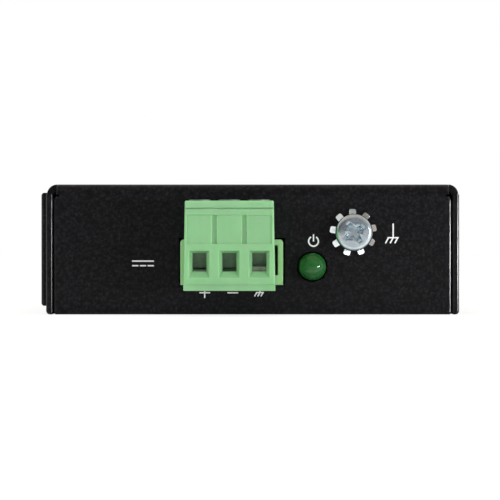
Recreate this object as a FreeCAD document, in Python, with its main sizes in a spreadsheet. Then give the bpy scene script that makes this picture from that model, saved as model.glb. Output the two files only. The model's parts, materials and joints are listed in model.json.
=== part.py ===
"""Compact ethernet switch in a folded metal case, with five network ports and a pluggable power terminal.

Frame: millimetres, +Z up, the case lies on its large face. The power end faces -Y, the network ports face +X
and the mounting plate is on the -X side. The origin is the middle of the case's underside.
"""
import FreeCAD, Part
import os
import re

import Sketcher
from FreeCAD import Placement, Rotation, Vector

SIZES = {
    # Case: one folded sheet with a separate base
    "case_width": 72.0,
    "case_length": 100.0,
    "case_height": 22.7,
    "wall": 1.2,
    "bend_radius": 1.8,
    "corner_gap": 0.15,
    "relief_reach": 0.95,
    "relief_height": 0.25,
    "panel_corner": 0.85,
    "wall_foot": 0.65,
    "panel_foot": 0.4,
    "edge_round": 0.4,
    "base_sheet": 1.0,
    "base_gap": 0.2,
    "base_corner": 1.5,
    # Posts that hang from the roof, spacers under the board, and the screws that clamp all of it
    "post_across": 5.0,
    "post_wall_inset": 5.5,
    "post_port_gap": 4.6,
    "post_left_inset": 7.0,
    "post_right_inset": 17.0,
    "spacer_radius": 2.75,
    "spacer_height": 2.55,
    "screw_thread": 1.5,
    "screw_play": 0.1,
    "thread_gap": 0.06,
    "flat_head": 2.5,
    "flat_head_sink": 0.05,
    "base_screw_length": 9.0,
    "cross_arm": 1.5,
    "cross_width": 0.7,
    # Board and the film under it
    "board_thick": 1.6,
    "board_gap": 0.4,
    "film_thick": 0.25,
    "film_margin": 2.0,
    "film_hole_gap": 0.4,
    "fit": 0.04,
    # Network ports along the +X side
    "port_gap": 1.5,
    "port_shift": 2.0,
    "port_width": 16.0,
    "port_top": 0.8,
    "port_depth": 21.5,
    "port_recess": 0.1,
    "port_window_gap": 0.15,
    "shield_sheet": 0.25,
    "shield_lip": 0.2,
    "socket_width": 11.8,
    "socket_height": 7.0,
    "socket_floor": 2.35,
    "socket_depth": 13.5,
    "latch_width": 6.4,
    "latch_drop": 0.9,
    "catch_width": 4.0,
    "catch_drop": 1.75,
    "peg_radius": 1.5,
    "peg_length": 2.2,
    "peg_inset": 2.3,
    "peg_back": 8.0,
    "peg_gap": 0.1,
    "light_width": 3.2,
    "light_height": 2.4,
    "light_depth": 3.0,
    "light_inset": 2.25,
    "light_gap": 0.95,
    "contact_pitch": 1.02,
    "contact_width": 0.45,
    "contact_thick": 0.25,
    "contact_front": 2.6,
    "contact_fall": 2.0,
    "contact_back_gap": 0.05,
    # Power header on the board, reaching through the end panel
    "header_centre": -3.64,
    "header_ends": 7.69,
    "header_height": 7.9,
    "header_out": 1.0,
    "header_depth": 12.0,
    "header_side": 0.89,
    "header_roof": 1.02,
    "header_floor": 1.72,
    "header_cavity": 8.4,
    "header_round": 0.6,
    "cutout_gap": 0.3,
    "pole_pitch": 5.08,
    "pin_width": 1.0,
    "pin_tip": 1.2,
    "pin_behind": 1.5,
    "pin_tail": 1.0,
    "pin_hole_gap": 0.15,
    # Terminal plug, pushed on the header and lying against the left side of its shroud
    "plug_play": 0.32,
    "plug_drop": 0.85,
    "plug_gap": 0.2,
    "plug_depth": 10.4,
    "plug_top_ends": 4.88,
    "plug_bottom_ends": 5.42,
    "plug_round": 0.25,
    "nose_length": 7.9,
    "nose_side_fit": 0.06,
    "nose_fit": 0.1,
    "face_height": 4.9,
    "face_down": 2.43,
    "face_side": 0.35,
    "face_depth": 0.2,
    "slot_width": 0.78,
    "slot_depth": 0.4,
    "groove_down": 1.43,
    "groove_height": 0.22,
    "groove_depth": 0.35,
    "foot_level": 1.1,
    "foot_setback": 0.25,
    "wire_width": 2.41,
    "wire_height": 3.12,
    "wire_down": 0.08,
    "funnel_side": 0.56,
    "funnel_top": 0.43,
    "funnel_bottom": 1.1,
    "funnel_depth": 1.2,
    # Rising clamps in the plug, with one screw and one cage for each pole
    "clamp_back": 4.6,
    "chamber_gap": 0.1,
    "chamber_headroom": 0.65,
    "shelf_thick": 1.6,
    "well_depth": 1.38,
    "well_gap": 0.2,
    "clamp_rim": 0.4,
    "clamp_head_height": 1.62,
    "clamp_thread": 1.5,
    "clamp_thread_gap": 0.08,
    "clamp_slot": 0.6,
    "clamp_slot_depth": 0.9,
    "clamp_shaft_gap": 0.15,
    "cage_beside": 0.45,
    "cage_behind": 0.3,
    "cage_clear": 0.05,
    "cage_drop": 0.05,
    "cage_floor": 1.0,
    "cage_opening": 4.2,
    "cage_roof": 1.8,
    "cage_travel": 2.4,
    "cage_rise_1": 0.3,
    "cage_rise_2": 0.0,
    "cage_rise_3": 0.85,
    "tongue_thick": 0.7,
    "tongue_width": 2.4,
    "tongue_front": 2.8,
    "tube_side": 1.4,
    "tube_wall": 0.45,
    "tube_roof": 0.5,
    "tube_gap": 0.35,
    "tube_stop": 0.4,
    "nose_end": 0.7,
    "pin_entry": 0.95,
    # Indicator lamp, lying on the board with its dome through the end panel
    "led_right": 10.38,
    "flange_gap": 0.28,
    "led_radius": 2.4,
    "led_length": 8.6,
    "led_out": 3.0,
    "led_gap": 0.25,
    "led_tip": 0.1,
    "flange_rim": 0.5,
    "flange_thick": 1.0,
    "lead_width": 0.5,
    "lead_pitch": 2.54,
    "lead_tail": 1.0,
    "holder_width": 5.6,
    "holder_depth": 2.6,
    "holder_over": 2.0,
    # Ground screw with its toothed washer and the nut behind the panel
    "ground_right": 17.55,
    "ground_level": 14.25,
    "ground_thread": 2.0,
    "ground_play": 0.2,
    "ground_thread_gap": 0.08,
    "ground_length": 6.0,
    "ground_head": 3.25,
    "ground_head_height": 2.4,
    "ground_head_round": 0.85,
    "ground_cross_arm": 2.0,
    "ground_cross_width": 0.95,
    "ground_cross_depth": 1.5,
    "ground_cross_turn": 33.0,
    "ground_nut_across": 7.0,
    "ground_nut_thick": 3.0,
    "washer_radius": 4.08,
    "washer_ring": 3.15,
    "washer_play": 0.15,
    "washer_thick": 0.5,
    "washer_left": 0.05,
    "washer_up": 0.03,
    "washer_fit": 0.02,
    "tooth_width": 1.25,
    "tooth_twist": 22.0,
    "tooth_start": 11.0,
    # Mounting plate on the -X side
    "plate_thick": 1.2,
    "plate_width": 19.9,
    "plate_setback": 4.0,
    "plate_round": 0.55,
    "plate_screw_inset": 16.0,
    "plate_screw_length": 6.0,
    "plate_nut_across": 5.5,
    "plate_nut_thick": 2.4,
    "clip_spacing": 25.0,
    "clip_hole": 1.5,
    "clip_room": 2.5,
    # Parts on the board, placed from the board's middle line and from the power end
    "capacitor_radius": 4.0,
    "capacitor_height": 11.5,
    "capacitor_left": 21.0,
    "capacitor_back": 22.0,
    "capacitor_pitch": 10.0,
    "fuse_width": 4.6,
    "fuse_depth": 3.2,
    "fuse_height": 1.8,
    "fuse_left": 14.0,
    "fuse_back": 17.5,
    "diode_width": 4.6,
    "diode_depth": 3.6,
    "diode_height": 2.3,
    "diode_left": 14.0,
    "diode_back": 23.0,
    "inductor_side": 7.3,
    "inductor_height": 4.0,
    "inductor_left": 12.0,
    "inductor_back": 32.0,
    "small_chip_width": 5.0,
    "small_chip_depth": 4.0,
    "small_chip_height": 1.5,
    "regulator_left": 4.0,
    "regulator_back": 26.0,
    "memory_left": 6.0,
    "memory_back": 74.0,
    "main_chip_side": 14.0,
    "main_chip_height": 1.4,
    "main_chip_left": 5.0,
    "main_chip_back": 55.0,
    "crystal_width": 4.7,
    "crystal_length": 11.4,
    "crystal_height": 3.5,
    "crystal_left": 20.0,
    "crystal_back": 55.0,
    "ceramic_length": 2.0,
    "ceramic_width": 1.25,
    "ceramic_height": 1.2,
    "ceramic_pitch": 3.4,
    "ceramic_gap": 1.6,
}

PORTS = range(1, 6)
POLES = (-1, 0, 1)
CONTACTS_PER_PORT = 8
WASHER_TEETH = 9
CERAMICS_PER_ROW = 4
SAME = 1e-4

document = FreeCAD.newDocument("EthernetSwitch")
sheet = document.addObject("Spreadsheet::Sheet", "Sizes")
for row, (size_name, number) in enumerate(SIZES.items(), start=1):
    sheet.set(f"A{row}", size_name)
    sheet.set(f"B{row}", str(number))
    sheet.setAlias(f"B{row}", size_name)
document.recompute()

# Levels and faces that several pieces share, as formulas on the sheet's names
front = "(-case_length / 2)"
panel_inside = "(-case_length / 2 + wall)"
side = "(case_width / 2)"
roof = "(case_height - wall)"
screw_hole = "(screw_thread + screw_play)"
board_low = "(base_sheet + spacer_height)"
board_top = "(base_sheet + spacer_height + board_thick)"
light_side = "(port_width / 2 - light_inset)"
light_level = "(socket_floor + socket_height + light_gap + light_height / 2)"
port_height = f"({light_level} + light_height / 2 + port_top)"
peg_side = "(port_width / 2 - peg_inset)"
port_front = "(case_width / 2 - port_recess)"
header_width = "(2 * pole_pitch + header_ends)"
plug_top_width = "(2 * pole_pitch + plug_top_ends)"
plug_bottom_width = "(2 * pole_pitch + plug_bottom_ends)"
cavity_low = f"({board_top} + header_floor)"
cavity_high = f"({board_top} + header_height - header_roof)"
pin_level = f"(({cavity_low} + {cavity_high}) / 2)"
header_front = f"({front} - header_out)"
header_back = f"({header_front} + header_depth)"
plug_centre = "(header_centre - plug_play)"
plug_low = f"({board_top} - plug_drop)"
plug_back = f"({header_front} - plug_gap)"
plug_front = f"({plug_back} - plug_depth)"
nose_back = f"({plug_back} + nose_length)"
clamp_axis = f"({plug_front} + clamp_back)"
clamp_head = "(clamp_thread + clamp_rim)"
cage_width = "(2 * (clamp_thread + cage_beside))"
cage_depth = "(2 * (clamp_thread + cage_behind))"
tongue_low = f"({pin_level} + pin_width / 2 + tube_gap + tube_roof)"
tongue_high = f"({tongue_low} + tongue_thick)"
wire_high = f"({tongue_low} - wire_down)"
wire_low = f"({wire_high} - wire_height)"
cage_low = f"({wire_low} - cage_drop - cage_floor)"
chamber_low = f"({cage_low} - chamber_gap)"
cage_height = "(cage_floor + cage_opening + cage_roof)"
chamber_high = f"({cage_low} + {cage_height} + cage_travel + chamber_headroom)"
shelf_top = f"({chamber_high} + shelf_thick)"
plug_top = f"({shelf_top} + well_depth)"
tube_low = f"({pin_level} - pin_width / 2 - tube_gap - tube_wall)"
flange_radius = "(led_radius + flange_rim)"
led_level = f"({board_top} + {flange_radius} + flange_gap)"
led_base = f"({front} - led_out + led_length)"
holder_back = f"({led_base} + holder_depth)"
washer_hole = "(ground_thread + washer_play)"
washer_space = "(tooth_width * sin(tooth_twist) + washer_thick * cos(tooth_twist) + 2 * washer_fit)"
plate_outside = f"(-{side} - plate_thick)"
plate_middle = "(case_height / 2)"
left_posts = f"(-{side} + post_wall_inset)"
right_posts = f"({port_front} - port_depth - post_port_gap)"
post_places = [
    (left_posts, f"({front} + post_left_inset)"),
    (left_posts, f"(-{front} - post_left_inset)"),
    (right_posts, f"({front} + post_right_inset)"),
    (right_posts, f"(-{front} - post_right_inset)"),
]
plate_screw_places = [f"({front} + plate_screw_inset)", f"(-{front} - plate_screw_inset)"]
clip_places = ["(-clip_spacing / 2)", "(clip_spacing / 2)"]
nodes = {}


def formula(text):
    """A formula on the sheet's names, written as an expression of the document."""
    return re.sub(r"[a-z][a-z_0-9]*", lambda word: f"Sizes.{word[0]}" if word[0] in SIZES else word[0], str(text))


def value(text):
    """The number that a formula gives now."""
    return float(sheet.evalExpression(formula(text)))


def bind(thing, setting, text):
    """Ties one setting of a document object to a formula."""
    thing.setExpression(setting, formula(text))


def place(thing, x, y, z, rotation=None):
    """Puts a document object at a point given by three formulas."""
    if rotation:
        thing.Placement = Placement(Vector(), rotation)
    for axis, text in (("x", x), ("y", y), ("z", z)):
        bind(thing, f"Placement.Base.{axis}", text)
    return thing


def node(name, thing):
    """Names a finished sub-part and keeps it for writing."""
    thing.Label = name
    nodes[name] = thing
    return thing


def block(x, y, z):
    """A box between pairs of formulas along the three axes."""
    box = document.addObject("Part::Box", "Block")
    for setting, (low, high) in (("Length", x), ("Width", y), ("Height", z)):
        bind(box, setting, f"({high}) - ({low})")
    return place(box, x[0], y[0], z[0])


def rod(x, y, z, radius):
    """An upright cylinder between two heights."""
    cylinder = document.addObject("Part::Cylinder", "Rod")
    bind(cylinder, "Radius", radius)
    bind(cylinder, "Height", f"({z[1]}) - ({z[0]})")
    return place(cylinder, x, y, z[0])


def taper(x, y, z, radii):
    """An upright cone between two heights, with a radius at each."""
    cone = document.addObject("Part::Cone", "Taper")
    bind(cone, "Radius1", radii[0])
    bind(cone, "Radius2", radii[1])
    bind(cone, "Height", f"({z[1]}) - ({z[0]})")
    return place(cone, x, y, z[0])


def hexagon(across, height):
    """An upright hexagonal bar on the origin."""
    bar = document.addObject("Part::Prism", "Hexagon")
    bar.Polygon = 6
    bind(bar, "Circumradius", f"({across}) / sqrt(3)")
    bind(bar, "Height", height)
    return bar


def joined(*things):
    """Several overlapping shapes as one solid."""
    union = document.addObject("Part::MultiFuse", "Joined")
    union.Shapes = list(things)
    union.Refine = True
    return union


def group(things):
    """Separate solids that share one sub-part."""
    together = document.addObject("Part::Compound", "Group")
    together.Links = list(things)
    return together


def without(base, *tools):
    """A shape with other shapes cut out of it."""
    cut = document.addObject("Part::Cut", "Without")
    cut.Base = base
    cut.Tool = tools[0] if len(tools) == 1 else group(tools)
    return cut


def rectangle(across, up):
    """The corners of a rectangle between two pairs of formulas."""
    return [(across[0], up[0]), (across[1], up[0]), (across[1], up[1]), (across[0], up[1])]


def disc(across, up, radius):
    """A circle in a sketch, by its centre and radius."""
    return {"centre": (across, up), "radius": radius}


def lies(edge, x=None, y=None, z=None):
    """Whether an edge lies wholly at the given coordinates."""
    box = edge.BoundBox
    spans = ((x, box.XMin, box.XMax), (y, box.YMin, box.YMax), (z, box.ZMin, box.ZMax))
    return all(at is None or (abs(low - at) < SAME and abs(high - at) < SAME) for at, low, high in spans)


def upright(edge):
    """Whether an edge runs straight along Z."""
    return edge.BoundBox.XLength < SAME and edge.BoundBox.YLength < SAME


class Piece:
    """A body made of prisms and turned shapes that are added, cut away and rounded."""

    def __init__(self, name):
        self.body = document.addObject("PartDesign::Body", name)
        self.body.AllowCompound = True
        self.origin = {feature.Role: feature for feature in self.body.Origin.OriginFeatures}

    def sketch(self, plane, level, shapes):
        """A sketch on an origin plane, moved along the plane's normal, holding outlines and discs."""
        drawing = self.body.newObject("Sketcher::SketchObject", "Sketch")
        drawing.AttachmentSupport = [(self.origin[f"{plane}_Plane"], "")]
        drawing.MapMode = "FlatFace"
        bind(drawing, "AttachmentOffset.Base.z", f"-({level})" if plane == "XZ" else level)
        for shape in shapes:
            if isinstance(shape, dict):
                self.draw_disc(drawing, shape)
            else:
                self.draw_outline(drawing, shape)
        return drawing

    def pin_point(self, drawing, line, end, point):
        """Holds one point of a sketch at two formulas."""
        for kind, text in zip(("DistanceX", "DistanceY"), point):
            index = drawing.addConstraint(Sketcher.Constraint(kind, line, end, value(text)))
            bind(drawing, f"Constraints[{index}]", text)

    def draw_outline(self, drawing, points):
        """A closed outline of straight lines."""
        corners = [Vector(value(across), value(up), 0) for across, up in points]
        lines = [
            drawing.addGeometry(Part.LineSegment(corner, corners[(index + 1) % len(corners)]))
            for index, corner in enumerate(corners)
        ]
        for index, line in enumerate(lines):
            following = lines[(index + 1) % len(lines)]
            drawing.addConstraint(Sketcher.Constraint("Coincident", line, 2, following, 1))
        for line, point in zip(lines, points):
            self.pin_point(drawing, line, 1, point)

    def draw_disc(self, drawing, shape):
        """A circle held by its centre and radius."""
        across, up = shape["centre"]
        middle = Vector(value(across), value(up), 0)
        circle = drawing.addGeometry(Part.Circle(middle, Vector(0, 0, 1), value(shape["radius"])))
        self.pin_point(drawing, circle, 3, shape["centre"])
        index = drawing.addConstraint(Sketcher.Constraint("Radius", circle, value(shape["radius"])))
        bind(drawing, f"Constraints[{index}]", shape["radius"])

    def feature(self, kind, profile):
        """A new feature of the body, made from a sketch."""
        made = self.body.newObject(f"PartDesign::{kind}", kind)
        made.Profile = profile
        return made

    def add(self, plane, span, *shapes):
        """Adds a prism that fills a span along the plane's normal."""
        low, high = span
        pad = self.feature("Pad", self.sketch(plane, high if plane == "XZ" else low, shapes))
        bind(pad, "Length", f"({high}) - ({low})")
        return pad

    def cut(self, plane, span, *shapes):
        """Cuts away a prism that fills a span along the plane's normal."""
        low, high = span
        pocket = self.feature("Pocket", self.sketch(plane, low if plane == "XZ" else high, shapes))
        bind(pocket, "Length", f"({high}) - ({low})")
        return pocket

    def cut_funnel(self, plane, levels, shapes):
        """Cuts away a funnel between an outline at one level and an outline at another."""
        loft = self.feature("SubtractiveLoft", self.sketch(plane, levels[0], shapes[:1]))
        loft.Sections = [self.sketch(plane, levels[1], shapes[1:])]
        loft.Ruled = True
        return loft

    def turn(self, shape):
        """Adds a solid turned about the body's own Z axis."""
        revolution = self.feature("Revolution", self.sketch("XZ", "0", [shape]))
        revolution.ReferenceAxis = (self.origin["Z_Axis"], [""])
        return revolution

    def repeat(self, feature, axis, length, count):
        """Repeats a feature in a row along one of the body's axes."""
        row_of = self.body.newObject("PartDesign::LinearPattern", "Row")
        row_of.Originals = [feature]
        row_of.Direction = (self.origin[f"{axis}_Axis"], [""])
        bind(row_of, "Length", length)
        row_of.Occurrences = count
        self.body.Tip = row_of
        return row_of

    def round_edges(self, radius, wanted):
        """Rounds each edge of the body so far that a test picks out."""
        document.recompute()
        base = self.body.Tip
        edges = [f"Edge{index}" for index, edge in enumerate(base.Shape.Edges, start=1) if wanted(edge)]
        fillet = self.body.newObject("PartDesign::Fillet", "Fillet")
        fillet.Base = (base, edges)
        bind(fillet, "Radius", radius)
        return fillet

    def hollow(self, thickness, wanted):
        """Leaves a shell of one thickness, open at each face that a test picks out."""
        document.recompute()
        base = self.body.Tip
        faces = [f"Face{index}" for index, face in enumerate(base.Shape.Faces, start=1) if wanted(face)]
        shell = self.body.newObject("PartDesign::Thickness", "Shell")
        shell.Base = (base, faces)
        bind(shell, "Value", thickness)
        shell.Reversed = True
        return shell


def port_middle(port):
    """The place of a port's middle along the case."""
    return f"(port_shift + {port - 3} * (port_width + port_gap))"


def pole_middle(pole, centre=plug_centre):
    """The place of a pole across the terminal."""
    return f"({centre} + {pole} * pole_pitch)"


def both_sides(middle, half):
    """A pair of formulas the same distance to each side of a middle."""
    return f"({middle}) - ({half})", f"({middle}) + ({half})"


def make_cover():
    """The folded cover: roof, two end panels and two side walls, open below and split at its corners."""
    cover = Piece("Cover")
    wall_top = "(case_height - bend_radius)"
    above = "(case_height + wall)"
    beyond = f"({side} + wall)"
    panel_edge = f"({side} - wall - corner_gap)"
    relief_end = f"({panel_edge} - relief_reach)"
    bend_start = f"({side} - bend_radius)"
    cover.add("XY", ("0", "case_height"), rectangle((f"-{side}", side), (front, f"-{front}")))
    height = SIZES["case_height"]
    cover.round_edges("bend_radius", lambda edge: lies(edge, z=height))
    cover.hollow("wall", lambda face: lies(face, z=0))
    power_end = ((front, panel_inside), (front, f"{front} + bend_radius"))
    far_end = ((f"-{panel_inside}", f"-{front}"), (f"-{front} - bend_radius", f"-{front}"))
    for panel_span, bend_span in (power_end, far_end):
        for across in ((panel_edge, f"{side} - wall"), (f"-{side} + wall", f"-{panel_edge}")):
            cover.cut("XZ", panel_span, rectangle(across, ("-wall", wall_top)))
        for across in ((bend_start, beyond), (f"-{beyond}", f"-{bend_start}")):
            cover.cut("XZ", bend_span, rectangle(across, (wall_top, above)))
        relief = (f"{wall_top} - relief_height", wall_top)
        for across in ((relief_end, panel_edge), (f"-{panel_edge}", f"-{relief_end}")):
            cover.cut("XZ", panel_span, rectangle(across, relief))
    header_window = rectangle(
        both_sides("header_centre", f"{header_width} / 2 + cutout_gap"),
        (f"{board_top} - cutout_gap", f"{board_top} + header_height + cutout_gap"),
    )
    led_window = disc("led_right", led_level, "led_radius + led_gap")
    ground_window = disc("ground_right", "ground_level", "ground_thread + ground_play")
    cover.cut("XZ", (front, panel_inside), header_window, led_window, ground_window)
    port_windows = [
        rectangle(
            both_sides(port_middle(port), "port_width / 2 + port_window_gap"),
            (f"{board_top} - port_window_gap", f"{board_top} + {port_height} + port_window_gap"),
        )
        for port in PORTS
    ]
    cover.cut("YZ", (f"{side} - wall", side), *port_windows)
    holes = [disc(y, plate_middle, screw_hole) for y in plate_screw_places]
    holes += [disc(y, plate_middle, "clip_room") for y in clip_places]
    cover.cut("YZ", (f"-{side}", f"-{side} + wall"), *holes)
    half_length = value(f"-{front}")
    half_width = value(side)
    outer_part = value(bend_start)
    corner_across = value(panel_edge)
    corner_level = value(f"{wall_top} - relief_height")

    def panel_top(edge):
        """The end panels' upper corners, under the corner reliefs."""
        return any(lies(edge, x=x, z=corner_level) for x in (corner_across, -corner_across))

    cover.round_edges("panel_corner", panel_top)

    def wall_foot(edge):
        """The side walls' lower outer edges."""
        return any(lies(edge, x=x, z=0) for x in (half_width, -half_width))

    cover.round_edges("wall_foot", wall_foot)

    def panel_foot(edge):
        """The end panels' lower corners."""
        return any(lies(edge, x=x, z=0) for x in (corner_across, -corner_across))

    cover.round_edges("panel_foot", panel_foot)

    def corner_edge(edge):
        """The upright edges beside the corner gaps, on the end faces."""
        on_end = abs(abs(edge.CenterOfMass.y) - half_length) < SAME
        return upright(edge) and on_end and abs(edge.CenterOfMass.x) > outer_part

    cover.round_edges("edge_round", corner_edge)
    return node("cover", cover.body)


def make_base():
    """The flat base that closes the case, with countersunk holes."""
    base = Piece("Base")
    half_x = f"({side} - wall - base_gap)"
    half_y = f"(-{front} - wall - base_gap)"
    base.add("XY", ("0", "base_sheet"), rectangle((f"-{half_x}", half_x), (f"-{half_y}", half_y)))
    base.round_edges("base_corner", upright)
    base.cut("XY", ("0", "base_sheet"), *[disc(x, y, screw_hole) for x, y in post_places])
    slope = "(flat_head + fit)"
    sinks = [taper(x, y, ("0", "base_sheet"), (slope, screw_hole)) for x, y in post_places]
    return node("base_plate", without(base.body, *sinks))


def make_posts():
    """Hexagonal posts under the roof, spacers under the board, and the screws through them."""
    posts = []
    spacers = []
    screws = []
    tip = "(flat_head_sink + base_screw_length)"
    for x, y in post_places:
        post = place(hexagon("post_across", f"{roof} - {board_top}"), x, y, board_top)
        posts.append(without(post, rod(x, y, (board_top, f"{tip} + wall"), "screw_thread")))
        spacer = rod(x, y, ("base_sheet", board_low), "spacer_radius")
        spacers.append(without(spacer, rod(x, y, ("base_sheet", board_low), screw_hole)))
        head = taper(x, y, ("flat_head_sink", "base_sheet"), ("flat_head", "screw_thread - thread_gap"))
        shaft = rod(x, y, ("flat_head_sink", tip), "screw_thread - thread_gap")
        depth = ("0", "base_sheet")
        long_way = block(both_sides(x, "cross_arm"), both_sides(y, "cross_width / 2"), depth)
        short_way = block(both_sides(x, "cross_width / 2"), both_sides(y, "cross_arm"), depth)
        screws.append(without(joined(head, shaft), long_way, short_way))
    node("cover_posts", group(posts))
    node("board_spacers", group(spacers))
    node("base_screws", group(screws))


def make_board():
    """The circuit board and the insulating film on the base under it."""
    half_x = f"({side} - wall - board_gap)"
    half_y = f"(-{front} - wall - board_gap)"
    depth = (board_low, board_top)
    board = block((f"-{half_x}", half_x), (f"-{half_y}", half_y), depth)
    holes = [rod(x, y, depth, screw_hole) for x, y in post_places]
    for port in PORTS:
        for reach in (peg_side, f"-{peg_side}"):
            y = f"{port_middle(port)} + {reach}"
            holes.append(rod(f"{port_front} - peg_back", y, depth, "peg_radius + peg_gap"))
    for pole in POLES:
        across = both_sides(pole_middle(pole, "header_centre"), "pin_width / 2 + pin_hole_gap")
        leg_back = f"{header_back} + pin_behind"
        along = (f"{leg_back} - pin_width - pin_hole_gap", f"{leg_back} + pin_hole_gap")
        holes.append(block(across, along, depth))
    for reach in ("lead_pitch / 2", "-lead_pitch / 2"):
        across = both_sides(f"led_right + {reach}", "lead_width / 2 + pin_hole_gap")
        along = (f"{holder_back} - pin_hole_gap", f"{holder_back} + lead_width + pin_hole_gap")
        holes.append(block(across, along, depth))
    node("circuit_board", without(board, *holes))
    film_x = f"({side} - wall - film_margin)"
    film_y = f"(-{front} - wall - film_margin)"
    film_span = ("base_sheet", "base_sheet + film_thick")
    film = block((f"-{film_x}", film_x), (f"-{film_y}", film_y), film_span)
    rooms = [rod(x, y, film_span, "spacer_radius + film_hole_gap") for x, y in post_places]
    node("insulating_sheet", without(film, *rooms))


def socket_outline(grow):
    """The stepped outline of a port's socket, with the latch's two steps below, widened all round."""
    steps = (
        ("socket_width / 2", "socket_floor", "socket_floor + socket_height"),
        ("latch_width / 2", "socket_floor - latch_drop", None),
        ("catch_width / 2", "socket_floor - catch_drop", None),
    )
    half, floor, top = steps[0]
    right = [(f"{half} + {grow}", f"{top} + {grow}"), (f"{half} + {grow}", f"{floor} - {grow}")]
    level = floor
    for half, floor, _ in steps[1:]:
        right.append((f"{half} + {grow}", f"{level} - {grow}"))
        right.append((f"{half} + {grow}", f"{floor} - {grow}"))
        level = floor
    left = [(f"-({across})", up) for across, up in reversed(right)]
    return right + left


def light_window(reach, grow):
    """The outline of one lamp window of a port."""
    across = both_sides(f"{reach} * {light_side}", f"light_width / 2 + {grow}")
    return rectangle(across, both_sides(light_level, f"light_height / 2 + {grow}"))


def make_port(port):
    """One network port: metal shield, moulded housing, spring contacts and two lamp windows."""
    here = (port_front, port_middle(port), board_top)
    half = "(port_width / 2)"
    inside = "(port_width / 2 - shield_sheet)"
    shield = Piece(f"Shield{port}")
    shield.add("YZ", ("-port_depth", "0"), rectangle((f"-{half}", half), ("0", port_height)))
    shield.cut(
        "XY",
        ("0", f"{port_height} - shield_sheet"),
        rectangle(("-port_depth + shield_sheet", "-shield_sheet"), (f"-{inside}", inside)),
    )
    shield.cut("YZ", ("-shield_sheet", "0"), socket_outline("shield_lip"))
    shield.cut("YZ", ("-shield_sheet", "0"), light_window(1, "fit"), light_window(-1, "fit"))
    node(f"port_{port}_shield", place(shield.body, *here))

    housing = Piece(f"Housing{port}")
    body_half = f"({inside} - fit)"
    body_front = "(-shield_sheet - fit)"
    housing.add(
        "YZ",
        ("-port_depth + shield_sheet + fit", body_front),
        rectangle((f"-{body_half}", body_half), ("0", f"{port_height} - shield_sheet - fit")),
    )
    housing.cut("YZ", ("-socket_depth", body_front), socket_outline("0"))
    housing.cut("YZ", ("-light_depth - fit", body_front), light_window(1, "fit"), light_window(-1, "fit"))
    pegs = [disc("-peg_back", reach, "peg_radius") for reach in (peg_side, f"-{peg_side}")]
    housing.add("XY", ("-peg_length", "0"), *pegs)
    node(f"port_{port}_housing", place(housing.body, *here))

    contacts = Piece(f"Contacts{port}")
    first = f"(-{(CONTACTS_PER_PORT - 1) / 2} * contact_pitch)"
    high = "(socket_floor + socket_height - fit)"
    tip = "-contact_front"
    root = "(-socket_depth + contact_back_gap)"
    strip = contacts.add(
        "XZ",
        both_sides(first, "contact_width / 2"),
        [
            (tip, high),
            (tip, f"{high} - contact_thick"),
            (root, f"{high} - contact_thick - contact_fall"),
            (root, f"{high} - contact_fall"),
        ],
    )
    contacts.repeat(strip, "Y", f"{CONTACTS_PER_PORT - 1} * contact_pitch", CONTACTS_PER_PORT)
    node(f"port_{port}_contacts", place(contacts.body, *here))

    lights = Piece(f"Lights{port}")
    lights.add("YZ", ("-light_depth", "0"), light_window(1, "0"), light_window(-1, "0"))
    node(f"port_{port}_lights", place(lights.body, *here))


def make_header():
    """The green shroud on the board and its three bent pins."""
    header = Piece("Header")
    across = both_sides("header_centre", f"{header_width} / 2")
    header.add(
        "XZ",
        (header_front, header_back),
        rectangle(across, (board_top, f"{board_top} + header_height")),
    )
    cavity = rectangle(both_sides("header_centre", f"{header_width} / 2 - header_side"), (cavity_low, cavity_high))
    header.cut("XZ", (header_front, f"{header_front} + header_cavity"), cavity)
    pins = [pole_middle(pole, "header_centre") for pole in POLES]
    tunnels = [
        rectangle(both_sides(x, "pin_width / 2 + fit"), both_sides(pin_level, "pin_width / 2 + fit"))
        for x in pins
    ]
    header.cut("XZ", (f"{header_front} + header_cavity", header_back), *tunnels)
    outer = [value(text) for text in across]
    top = value(f"{board_top} + header_height")

    def long_edge(edge):
        """The outer edges that run from front to back along the top and sides."""
        box = edge.BoundBox
        runs_back = box.XLength < SAME and box.ZLength < SAME
        return runs_back and lies(edge, z=top) and any(lies(edge, x=x) for x in outer)

    header.round_edges("header_round", long_edge)
    node("power_header", header.body)
    bent = []
    leg = (f"{header_back} + pin_behind - pin_width", f"{header_back} + pin_behind")
    for x in pins:
        width = both_sides(x, "pin_width / 2")
        level = both_sides(pin_level, "pin_width / 2")
        reach = block(width, (f"{header_front} + pin_tip", leg[1]), level)
        bent.append(joined(reach, block(width, leg, (f"{board_low} - pin_tail", level[1]))))
    node("header_pins", group(bent))


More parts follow.
